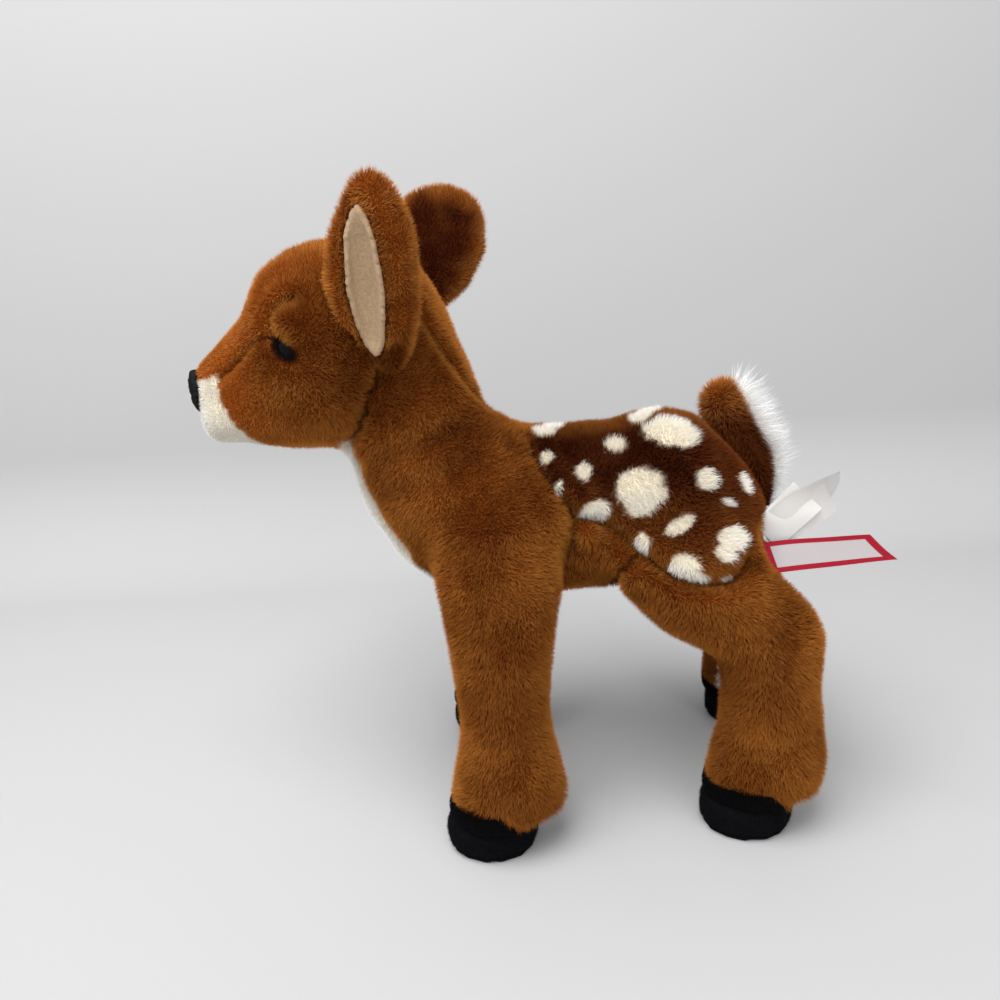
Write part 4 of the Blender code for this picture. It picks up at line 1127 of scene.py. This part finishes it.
PILE = cloth_material("plush_pile")
BACKING = cloth_material("plush_backing")
SUEDE = plain_material("beige_suede", (0.400, 0.275, 0.165), 0.95, sheen=0.15, grain=0.16, specular=0.1)
FELT = plain_material("black_felt", (0.0035, 0.0035, 0.0045), 0.95, grain=0.35, specular=0.05)
THREAD = plain_material("black_thread", (0.005, 0.005, 0.006), 0.7, specular=0.12)
EYE_GLASS = plain_material("eye_plastic_gloss", (0.003, 0.003, 0.004), 0.10, specular=0.11)
WASHER = plain_material("washer_plastic", (0.30, 0.30, 0.29), 0.5, grain=0.05)
MATERIALS = (PILE, BACKING, SUEDE, FELT, THREAD, EYE_GLASS, WASHER)
print("materials:", ", ".join(material.name for material in MATERIALS))


def set_material(piece, material):
    """Give an object one material and no other."""
    piece.data.materials.clear()
    piece.data.materials.append(material)


def colour_skin(piece, colours=cloth_colour):
    """Store the pile's root colour, with its painted shade, on a skin's own points, and give it the
    backing's material.
    """
    store_colour(piece, shaded_root_colour(colours(skin_arrays(piece)[0])))
    set_material(piece, BACKING)


# %% [markdown]
# ## Grow the pile on the body, neck, head and legs
# Each piece of skin and its pile are placed alike: on the same body, or baked where they lie over a
# joint.


def move_with(piece, body):
    """Let a piece ride its body, or, over a joint, bake its place into its points and leave it there."""
    if body in BLENDS:
        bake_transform(piece)
    else:
        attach(piece, body)


for number, (region, (body, slot, nodes)) in enumerate(REGIONS.items()):
    skin = skin_pieces[region]
    pile = grow_pile(f"pile_{region}", skin, PILE, seed=number + 1)
    colour_skin(skin)
    for piece in (skin, pile):
        move_with(piece, body)
    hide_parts(*nodes)
bpy.data.objects.remove(toy_skin)

# %% [markdown]
# ## Ears
# Each ear is a thick plush leaf whose two edges fold forward over a suede lining. The pile on the
# edges leans in over the lining, and its length falls to a quarter on the cloth under it.

# %% Set the ears' sizes and colours
EAR_VOXEL = 0.0011
EAR_ROUNDS = 5
EAR_PILE = 0.0042
RIM_PILE = 0.0068
RIM_REACH = 0.005
RIM_FADE = (0.5 * RIM_REACH, 1.6 * RIM_REACH)
RIM_FOLD = 0.9
SUEDE_SHORTEST = 0.25
SUEDE_SHORN = (0.0004, 0.0022)
EAR_LEAN = 0.35
EAR_NAP_WANDER = 0.35
EAR_DRAW_IN = 0.35
EAR_ROOT_REACH = (0.007, 0.020)
EAR_ROOT_SINK = 0.0045
LINING_BULGE = 0.0016
SUEDE_VOXEL = 0.0009
SUEDE_ROUNDS = 26
EAR_STEPS = 14
EAR_RIM_SHARES = (0.50, 0.95)
EAR_TIP_SHARES = (0.84, 1.0)
# Painted light on an ear's rim and tip, and painted shade in the trough beside its lining
EAR_LIT_GOLD = (0.12, 0.62)
SHADED_TROUGH_GOLD = 0.15
EAR_GOLD_WANDER = 0.15
EAR_SHADE_TROUGH = (0.0010, 0.0048)
EAR_FRONT_REACH = (-0.0045, -0.0015)
# The far ear's deep colour is darker: painted shade on its back, whose pile is seen face on
EAR_SHADED_DEEP = {"left": np.array((0.215, 0.062, 0.010)), "right": np.array((0.098, 0.012, 0.003))}


def soft_copy(name, words, voxel, rounds):
    """Return a smooth remeshed copy of some of the frame's nodes."""
    piece = joined(name, solid_nodes(*words))
    remesh(piece, voxel)
    smooth(piece, rounds)
    piece.data.shade_smooth()
    return piece


def distance_to(tree, points):
    """Return each point's distance to a surface and the nearest place on it."""
    found = [tree.find_nearest(Vector(point)) for point in points]
    return np.array([hit[3] for hit in found]), np.array([hit[0] for hit in found])


# %% [markdown]
# ### Painted light on the rims, painted shade in the troughs and backs
# An ear is painted palest along its rim and its tip, as painted light, and deepest in the trough
# beside its lining and on the far ear's back, as painted shade. The rim is found by how far across
# the ear a point lies between its front and rear edges at that height.

# %% Find an ear's edges and colour it


def ear_places(points, root, up):
    """Return how high points lie up an ear and how far across it, from its root."""
    across = np.array((up[2], 0.0, -up[0]))
    return (points - root) @ up, (points - root) @ across


def ear_edges(points, root, up):
    """Return heights up an ear and, at each, how far its front and rear edges lie across it."""
    height, aside = ear_places(points, root, up)
    steps = np.linspace(height.min(), height.max(), EAR_STEPS + 1)
    middles = (steps[1:] + steps[:-1]) / 2
    bands = [(height >= low) & (height <= high) for low, high in zip(steps, steps[1:])]
    return middles, [aside[band].min() for band in bands], [aside[band].max() for band in bands]


def ear_colour(points, root, up, edges, deep, lining_tree, side):
    """Return the ear's colour: painted shade beside its lining and on its back, painted light on its rim
    and tip.
    """
    height, aside = ear_places(points, root, up)
    front = np.interp(height, edges[0], edges[1])
    rear = np.interp(height, edges[0], edges[2])
    off_middle = np.abs(2 * (aside - front) / np.maximum(rear - front, 0.001) - 1)
    tip = ramp(height / edges[0][-1], *EAR_TIP_SHARES)
    rim = np.maximum(ramp(off_middle, *EAR_RIM_SHARES), tip)
    away, nearest = distance_to(lining_tree, points)
    in_front = ramp((points - nearest)[:, 1] * side, *EAR_FRONT_REACH)
    rim = np.maximum(rim, in_front) * from_floor(SHADED_TROUGH_GOLD, ramp(away, *EAR_SHADE_TROUGH))
    rim = np.clip(rim + EAR_GOLD_WANDER * wobble(points, 0.006, 34), 0, 1)
    return blend_colours(deep + np.zeros_like(points), BROWN_LIGHT, EAR_LIT_GOLD[0] + EAR_LIT_GOLD[1] * rim)


# %% Dress both ears


def dress_ear(side_name, side):
    """Cover one ear with pile and line it with suede."""
    body = f"ear_{side_name}"
    root = np.array(JOINTS[f"ear_{side_name}_flop"]["pos_m"])
    cloth = soft_copy(f"ear_cloth_{side_name}", (f"ear_back_{side_name}",), EAR_VOXEL, EAR_ROUNDS)
    lining = soft_copy(f"ear_suede_{side_name}", (f"ear_lining_{side_name}",), SUEDE_VOXEL, SUEDE_ROUNDS)
    lining_tree = ray_tree(lining)
    points, normals = skin_arrays(cloth)
    away, nearest = distance_to(lining_tree, points)
    tip = points[np.argmax(np.linalg.norm(points - root, axis=1))]
    up = (tip - root) / np.linalg.norm(tip - root)
    lengths = EAR_PILE + (RIM_PILE - EAR_PILE) * (1 - ramp(away, *RIM_FADE))
    lengths *= from_floor(SUEDE_SHORTEST, ramp(away, *SUEDE_SHORN))
    points -= normals * (EAR_DRAW_IN * lengths)[:, None]
    near_root = 1 - ramp(np.linalg.norm(points - root, axis=1), *EAR_ROOT_REACH)
    points[:, 1] -= side * EAR_ROOT_SINK * near_root
    set_points(cloth, points)
    toward = nearest - points
    toward /= np.maximum(np.linalg.norm(toward, axis=1), 1e-6)[:, None]
    fold = (1 - ramp(away, 0.0, 2.0 * RIM_REACH))[:, None] * RIM_FOLD
    leans = toward * fold + up * EAR_LEAN * (1 - fold / RIM_FOLD)
    for axis in range(3):
        leans[:, axis] += EAR_NAP_WANDER * wobble(points, 0.009, 30 + axis)
    edges = ear_edges(points, root, up)

    def colours(places):
        return ear_colour(places, root, up, edges, EAR_SHADED_DEEP[side_name], lining_tree, side)

    pile = grow_pile(f"pile_ear_{side_name}", cloth, PILE, seed=40 + side, lengths=lengths, leans=leans,
                     colours=colours)
    colour_skin(cloth, colours)
    suede_points, suede_normals = skin_arrays(lining)
    outward = np.maximum(0, suede_normals[:, 1] * side)
    set_points(lining, suede_points + suede_normals * (outward * LINING_BULGE)[:, None])
    set_material(lining, SUEDE)
    for piece, slot in ((cloth, "brown_plush"), (pile, "brown_plush"), (lining, "ear_suede")):
        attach(piece, body)
    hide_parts(f"ear_back_{side_name}")
    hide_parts(f"ear_lining_{side_name}")


for side_name, side in (("left", -1), ("right", 1)):
    dress_ear(side_name, side)

# %% [markdown]
# ## Tail
# The tail is brown pile in front and long white wisps behind. Both grow on the same skin: the brown
# all over it, and the wisps only where it faces back. One share, which fades from brown to white,
# sets both the colour and the length of the wisps, so the border is as soft as on the real tail.

# %% Dress the tail
TAIL_VOXEL = 0.0018
TAIL_ROUNDS = 6
TAIL_PILE = 0.0060
TAIL_ROOT_PILE = 0.35
TAIL_REAR_SHORTENING = 0.4
TAIL_ROOT_SINK = 0.4
TAIL_RISE = np.array((0.004, 0.030))
# Painted shade on the tail's sides, by how far they face sideways
TAIL_SIDE_SHADE = 0.35
TAIL_SIDE_FACING = (0.40, 0.90)
TAIL_REAR_FILL = 0.0036
TAIL_FRONT_FILL = 0.0020
WISP_LENGTH = 0.0185
WISP_DENSITY = 1.5e6
WISP_WIDTH = 0.00034
WISP_LEAN = (0.10, -0.10, 0.25)
WISP_WANDER = 0.6
# The wisps' share of their full length: at the tail's root, and how much more at its tip
WISP_SHARES = (0.55, 0.45)
TAIL_WHITE = np.array((0.90, 0.89, 0.87))
TAIL_WHITE_FACING = (0.70, 0.90)
# Painted shade on the tail: its colour, its strongest share, and the heights below which all of it is
# shaded
TAIL_SHADE_BROWN = np.array((0.105, 0.021, 0.004))
TAIL_SHADE_MOST = 0.92
TAIL_SHADE_TOP_HEIGHTS = (0.204, 0.228)

tail = soft_copy("tail_cloth", ("tail_top", "tail_underside"), TAIL_VOXEL, TAIL_ROUNDS)
tail_points, tail_normals = skin_arrays(tail)
tail_tip = tail_points[np.argmax(tail_points[:, 2])]
tail_up = (tail_tip - TAIL_ROOT) / np.linalg.norm(tail_tip - TAIL_ROOT)
tail_rear = np.array((tail_up[2], 0, -tail_up[0]))
tail_height = ramp(tail_points[:, 2], *(TAIL_ROOT[2] + TAIL_RISE))
rearward = tail_normals @ tail_rear
white_share = ramp(rearward, *TAIL_WHITE_FACING)
# Painted shade: the tail's sides and all of it below its top are darkened, and only the top keeps the lit
# brown
tail_shade_share = TAIL_SIDE_SHADE * ramp(np.abs(tail_normals[:, 1]), *TAIL_SIDE_FACING)
tail_shade_share = np.maximum(tail_shade_share, 1 - ramp(tail_points[:, 2], *TAIL_SHADE_TOP_HEIGHTS))
fill = TAIL_REAR_FILL * np.maximum(rearward, 0) * tail_height + TAIL_FRONT_FILL * np.minimum(rearward, 0)
tail_points += fill[:, None] * tail_rear
sunk = PILE_DEPTH * TAIL_PILE * from_floor(TAIL_ROOT_SINK, tail_height)
set_points(tail, tail_points - tail_normals * sunk[:, None])
tail_points, tail_normals = skin_arrays(tail)
tail_lean = np.tile(WISP_LEAN, (len(tail_points), 1))
for axis in range(3):
    tail_lean[:, axis] += WISP_WANDER * wobble(tail_points, 0.010, 50 + axis)
tail_tree = point_tree(tail_points)


def tail_colours(places):
    """Return the tail's colour: brown, with painted shade on its sides and below its top, and white
    behind.
    """
    nearest = [tail_tree.find(place)[1] for place in places]
    # A metre up there are no spots, seams or cuffs, so that plain brown cloth comes back
    brown = cloth_colour(places + (0, 0, 1))
    brown = blend_colours(brown, TAIL_SHADE_BROWN, TAIL_SHADE_MOST * tail_shade_share[nearest])
    return blend_colours(brown, TAIL_WHITE, white_share[nearest])


brown_lengths = TAIL_PILE * from_floor(TAIL_ROOT_PILE, tail_height)
brown_lengths = brown_lengths * (1 - TAIL_REAR_SHORTENING * white_share)
wisp_lengths = WISP_LENGTH * white_share * (WISP_SHARES[0] + WISP_SHARES[1] * tail_height)
tail_pile = grow_pile("pile_tail", tail, PILE, seed=50, lengths=brown_lengths, colours=tail_colours)
tail_wisps = grow_pile("wisps_tail", tail, PILE, density=WISP_DENSITY, width=WISP_WIDTH, seed=51,
                       unevenness=0.7, ruffle=0.55, lengths=wisp_lengths, leans=tail_lean,
                       colours=tail_colours)
colour_skin(tail, tail_colours)
for piece in (tail, tail_pile, tail_wisps):
    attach(piece, "tail")
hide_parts("tail_top", "tail_underside")

# %% [markdown]
# ## Hooves
# A felt cup with a felt sole, sewn together round the edge. Felt shows short stray fibres, so the
# same tree grows a thin fuzz on it.

# %% Dress the hooves
HOOF_VOXEL = 0.0011
HOOF_ROUNDS = 12
HOOF_LUMPS = 0.0003
HOOF_LOWEST = 0.0002
HOOF_FUZZ = 0.0016
FUZZ_SHORTEST = 0.4
FUZZ_HEIGHTS = (0.0005, 0.0025)
FUZZ_DENSITY = 1.1e6
FUZZ_WIDTH = 0.00022
SOLE_SEAM_HEIGHT = 0.0027
SOLE_SEAM_HALF = 0.0009
SOLE_SEAM_DEPTH = 0.0011
# The seam shows on faces that are less level than this
SOLE_SEAM_FACING = 0.8
FELT_MOTTLE = (1.2, 0.9)


def felt_colours(places):
    """Return felt's near-black with a slight mottle."""
    return FELT_COLOUR * (FELT_MOTTLE[0] + FELT_MOTTLE[1] * wobble(places, 0.003, 60))[:, None]


for leg in LEGS:
    felt_nodes = (f"hoof_cup_{leg}", f"hoof_sole_{leg}")
    hoof = soft_copy(f"hoof_felt_{leg}", felt_nodes, HOOF_VOXEL, HOOF_ROUNDS)
    hoof_points, hoof_normals = skin_arrays(hoof)
    upright = np.abs(hoof_normals[:, 2]) < SOLE_SEAM_FACING
    seam = np.exp(-((hoof_points[:, 2] - SOLE_SEAM_HEIGHT) / SOLE_SEAM_HALF) ** 2) * upright
    lump = HOOF_LUMPS * wobble(hoof_points, 0.006, 61)
    hoof_points += hoof_normals * (lump - SOLE_SEAM_DEPTH * seam)[:, None]
    hoof_points[:, 2] = np.maximum(hoof_points[:, 2], HOOF_LOWEST)
    set_points(hoof, hoof_points)
    set_material(hoof, FELT)
    fuzz_lengths = HOOF_FUZZ * from_floor(FUZZ_SHORTEST, ramp(hoof_points[:, 2], *FUZZ_HEIGHTS))
    fuzz = grow_pile(f"fuzz_{leg}", hoof, PILE, density=FUZZ_DENSITY, width=FUZZ_WIDTH, seed=60,
                     unevenness=0.6, ruffle=0.9, lengths=fuzz_lengths,
                     leans=np.zeros_like(hoof_points), colours=felt_colours)
    for piece in (hoof, fuzz):
        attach(piece, f"leg_{leg}")
    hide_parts(*felt_nodes)

# %% [markdown]
# ## Eyes
# A glossy black eye sits deep between the brow and the cheek, so that only a slit of it shows. A
# ball with its front pressed a little flat catches the light as a domed plastic eye does.

# %% Set the eyes into their sockets
EYE_RADIUS = 0.0068
EYE_SINK = 0.0070
EYE_OUTWARD = np.array((-0.33, -0.90, 0.10))
EYE_RINGS = 24
EYE_SIDES = 40
IRIS_SHARE = 0.86
IRIS_BULGE = 0.55
# More than an eye has points, so that every face's key is its own
KEY_BASE = 1000


def face_key(face):
    """Return a number that names a face by its corners."""
    key = 0
    for place in sorted(vertex.index for vertex in face.verts):
        key = key * KEY_BASE + place
    return key


def build_eye(name, centre, outward, radius):
    """Return a smooth dome with a slightly flattened clear front, facing outward."""
    shape = bmesh.new()
    bmesh.ops.create_uvsphere(shape, u_segments=EYE_SIDES, v_segments=EYE_RINGS, radius=radius)
    # A new ball lists its faces in an order that changes from run to run, so they are sorted
    shape.verts.index_update()
    shape.faces.sort(key=face_key)
    for vertex in shape.verts:
        if vertex.co.z > IRIS_SHARE * radius:
            vertex.co.z = IRIS_SHARE * radius + (vertex.co.z - IRIS_SHARE * radius) * IRIS_BULGE
    turn = Vector(outward).to_track_quat("Z", "Y").to_matrix().to_4x4()
    shape.transform(Matrix.Translation(Vector(centre)) @ turn)
    glass = piece_from(name, shape)
    set_material(glass, EYE_GLASS)
    return glass


for side_name, mirror, eye in (("left", 1, EYES[0]), ("right", -1, EYES[1])):
    outward = EYE_OUTWARD * (1, mirror, 1)
    outward = outward / np.linalg.norm(outward)
    glass = build_eye(f"eye_glass_{side_name}", eye - outward * EYE_SINK, outward, EYE_RADIUS)
    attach(glass, "head")
    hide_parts(f"eye_{side_name}")
    for washer_slot in frame["nodes"][f"eye_washer_{side_name}"].material_slots:
        washer_slot.material = WASHER

# %% [markdown]
# ## Nose
# The nose is embroidered: rows of black satin stitch run down it side by side. The rows are ridges
# of the mesh itself and not only of its shading, because they show along the nose's edge.

# %% Embroider the nose
NOSE_VOXEL = 0.0004
NOSE_ROUNDS = 6
NOSE_RIM = (0.006, 0.010)
NOSE_SETTLE = 0.0016
NOSE_LUMPS = 0.0005
THREAD_PITCH = 0.00075
THREAD_RELIEF = 0.00042
RIDGE_POWER = 0.7
RIDGE_MIDDLE = 0.6
ROW_WANDER = 0.0006
STITCH_END = 0.0004
# Where each row of stitches reads the noise, so that each ends at a height of its own
ROW_STEP = np.array((1.7, 2.3, 3.1))

nose = soft_copy("nose_stitches", ("nose",), NOSE_VOXEL, NOSE_ROUNDS)
nose_points, nose_normals = skin_arrays(nose)
row = nose_points[:, 1] + ROW_WANDER * wobble(nose_points, 0.006, 70)
ridge = np.abs(np.sin(math.pi * row / THREAD_PITCH)) ** RIDGE_POWER
stitch_end = STITCH_END * wobble(np.round(row / THREAD_PITCH)[:, None] * ROW_STEP, 1.0, 71)
rim = ramp(np.abs(nose_points[:, 2] - nose_points[:, 2].mean()), *NOSE_RIM)
lumps = NOSE_LUMPS * wobble(nose_points, 0.0022, 72)
relief = THREAD_RELIEF * (ridge - RIDGE_MIDDLE) + stitch_end * rim + lumps
nose_points += nose_normals * relief[:, None]
nose_points[:, 0] += NOSE_SETTLE
set_points(nose, nose_points)
set_material(nose, THREAD)
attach(nose, "head")
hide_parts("nose")
print("the nose has", len(nose.data.polygons), "faces")

# %% [markdown]
# ## Labels
# A woven ribbon label with a red border hangs from the rump, and behind it are three satin tags. All
# of them are left blank. Each is a strip swept along a gentle curve, starting from the seam in which
# the label is sewn, and each has its own UV map, on which the weave and the border are drawn.

# %% Sweep the labels
RIBBON_SIZE = (0.0597, 0.018)
RIBBON_BORDER = 0.0030
RIBBON_FOLD_BORDER = 0.0050
RIBBON_RISE = math.radians(2)
RIBBON_ROLL = math.radians(38)
RIBBON_ROWS = (60, 18)
RIBBON_BEND = 0.0012
RIBBON_TWIST = -0.22
CARE_SIZES = ((0.047, 0.020), (0.0376, 0.020), (0.0291, 0.020))
CARE_RISES = (math.radians(38), math.radians(30), math.radians(45))
CARE_BENDS = ((0.0030, 0.9), (0.0016, 0.25), (0.0010, -0.15))
CARE_ROWS = (40, 12)
CARE_SPACING = 0.001
LABEL_SLANT = 0.35
# A second, shorter wave along each label: its share of the bend, and its half waves
WAVE_SHARE = 0.25
WAVE_COUNT = 2.6
RIPPLE_HEIGHT = 0.0006
RIPPLE_ALONG = 5
RIPPLE_ACROSS = 4


def label_frame(rise, roll):
    """Return a label's directions along, across and out of its face."""
    turn = Matrix.Rotation(-rise, 3, "Y") @ Matrix.Rotation(roll, 3, "X")
    return [np.array(turn @ axis) for axis in (Vector((1, 0, 0)), Vector((0, 1, 0)), Vector((0, 0, 1)))]


def build_strip(name, root, frame_axes, size, rows, bend, twist, slant, material):
    """Return a strip of cloth from its root, with a UV map in millimetres."""
    along, across, out = frame_axes
    length, width = size
    shape = bmesh.new()
    weave = shape.loops.layers.uv.new("weave")
    grid = []
    for i in range(rows[0] + 1):
        u = i / rows[0]
        lift = bend * math.sin(math.pi * u) + WAVE_SHARE * bend * math.sin(WAVE_COUNT * math.pi * u)
        turn = twist * u * u
        side = across * math.cos(turn) + out * math.sin(turn)
        middle = root + along * (length * u) + out * lift
        grid.append([])
        for j in range(rows[1] + 1):
            v = j / rows[1] - 0.5
            ripple = RIPPLE_HEIGHT * math.sin(RIPPLE_ALONG * u + RIPPLE_ACROSS * v) * u
            place = middle + side * (width * v) + out * ripple + along * (slant * width * v * u)
            grid[-1].append((shape.verts.new(place), (length * u / MM, width * (v + 0.5) / MM)))
    for i in range(rows[0]):
        for j in range(rows[1]):
            corners = (grid[i][j], grid[i + 1][j], grid[i + 1][j + 1], grid[i][j + 1])
            face = shape.faces.new([corner[0] for corner in corners])
            for loop, corner in zip(face.loops, corners):
                loop[weave].uv = corner[1]
    strip = piece_from(name, shape)
    set_material(strip, material)
    return strip


# %% [markdown]
# ### Woven cloth
# Woven cloth shows fine slanting ribs. A sine wave on the strip's own UV map draws them at any size
# without a picture, and the ribbon's border is the part of the same map that is near its edges.

# %% Weave the ribbon and the satin
BORDER_BLUR_MM = 0.25
RIB_SHADES = (0.10, 0.92)


def edge_factor(tree, coordinate, size, border):
    """Return a node socket that is 1 within a border of either edge of a strip, in millimetres."""
    centred = calculate(tree, "SUBTRACT", coordinate, size / 2 / MM)
    inner = (size / 2 - border) / MM
    return add_node(tree, "ShaderNodeMapRange", {
        "Value": calculate(tree, "ABSOLUTE", centred), "From Min": inner,
        "From Max": inner + BORDER_BLUR_MM,
    }).outputs["Result"]


def woven_material(name, field, border=None, pitch=0.6, sheen=0.0, roughness=0.55, specular=0.5):
    """Return a ribbed ribbon material with a coloured border where one is given."""
    material, tree, shader = principled(name, {
        "Roughness": roughness, "Sheen Weight": sheen, "Specular IOR Level": specular,
    })
    uv = add_node(tree, "ShaderNodeUVMap", uv_map="weave")
    place = add_node(tree, "ShaderNodeSeparateXYZ", {"Vector": uv.outputs["UV"]}).outputs
    diagonal = calculate(tree, "ADD", place["X"], place["Y"])
    rib = calculate(tree, "SINE", calculate(tree, "MULTIPLY", diagonal, math.tau / pitch))
    colour = field
    if border is not None:
        ends = edge_factor(tree, place["X"], RIBBON_SIZE[0], RIBBON_FOLD_BORDER)
        sides = edge_factor(tree, place["Y"], RIBBON_SIZE[1], RIBBON_BORDER)
        colour = add_node(tree, "ShaderNodeMix", {
            "A": (*field, 1), "B": (*border, 1), "Factor": calculate(tree, "MAXIMUM", ends, sides),
        }, data_type="RGBA").outputs["Result"]
    shaded = add_node(tree, "ShaderNodeVectorMath", {
        0: colour, "Scale": calculate(tree, "MULTIPLY_ADD", rib, *RIB_SHADES),
    }, operation="SCALE")
    tree.links.new(shaded.outputs["Vector"], shader.inputs["Base Color"])
    add_bump(tree, shader, rib, 0.25, 0.0002)
    return material


RIBBON_WEAVE = woven_material("ribbon_weave", (0.40, 0.365, 0.37), (0.27, 0.004, 0.016), specular=0.12)
SATIN_WEAVE = woven_material("satin_weave", (0.78, 0.765, 0.735), pitch=0.35, roughness=0.45, sheen=0.1)

# %% [markdown]
# ### Sewn in at one end
# A label is caught in a seam by one end. The ribbon's face is turned up and towards the camera, and
# the satin tags stand on edge, face to the camera. They ride bodies of their own, because they flap
# at that seam.

# %% Hang the labels
ribbon_root = np.array(JOINTS["ribbon_flap"]["pos_m"])
ribbon_axes = label_frame(RIBBON_RISE, RIBBON_ROLL)
ribbon = build_strip("ribbon_front", ribbon_root, ribbon_axes, RIBBON_SIZE, RIBBON_ROWS, RIBBON_BEND,
                     RIBBON_TWIST, -LABEL_SLANT, RIBBON_WEAVE)
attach(ribbon, "ribbon")
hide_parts("ribbon_label")

care_root = np.array(JOINTS["care_flap"]["pos_m"])
for number, (size, rise, (bend, twist)) in enumerate(zip(CARE_SIZES, CARE_RISES, CARE_BENDS), start=1):
    place = care_root - np.array((0, CARE_SPACING * number, 0))
    tag = build_strip(f"satin_tag_{number}", place, label_frame(rise, math.pi / 2), size,
                      CARE_ROWS, bend, twist, 0.0, SATIN_WEAVE)
    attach(tag, "care")
    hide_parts(f"care_label_{number}")
print("labels hung: a ribbon and", len(CARE_SIZES), "tags")
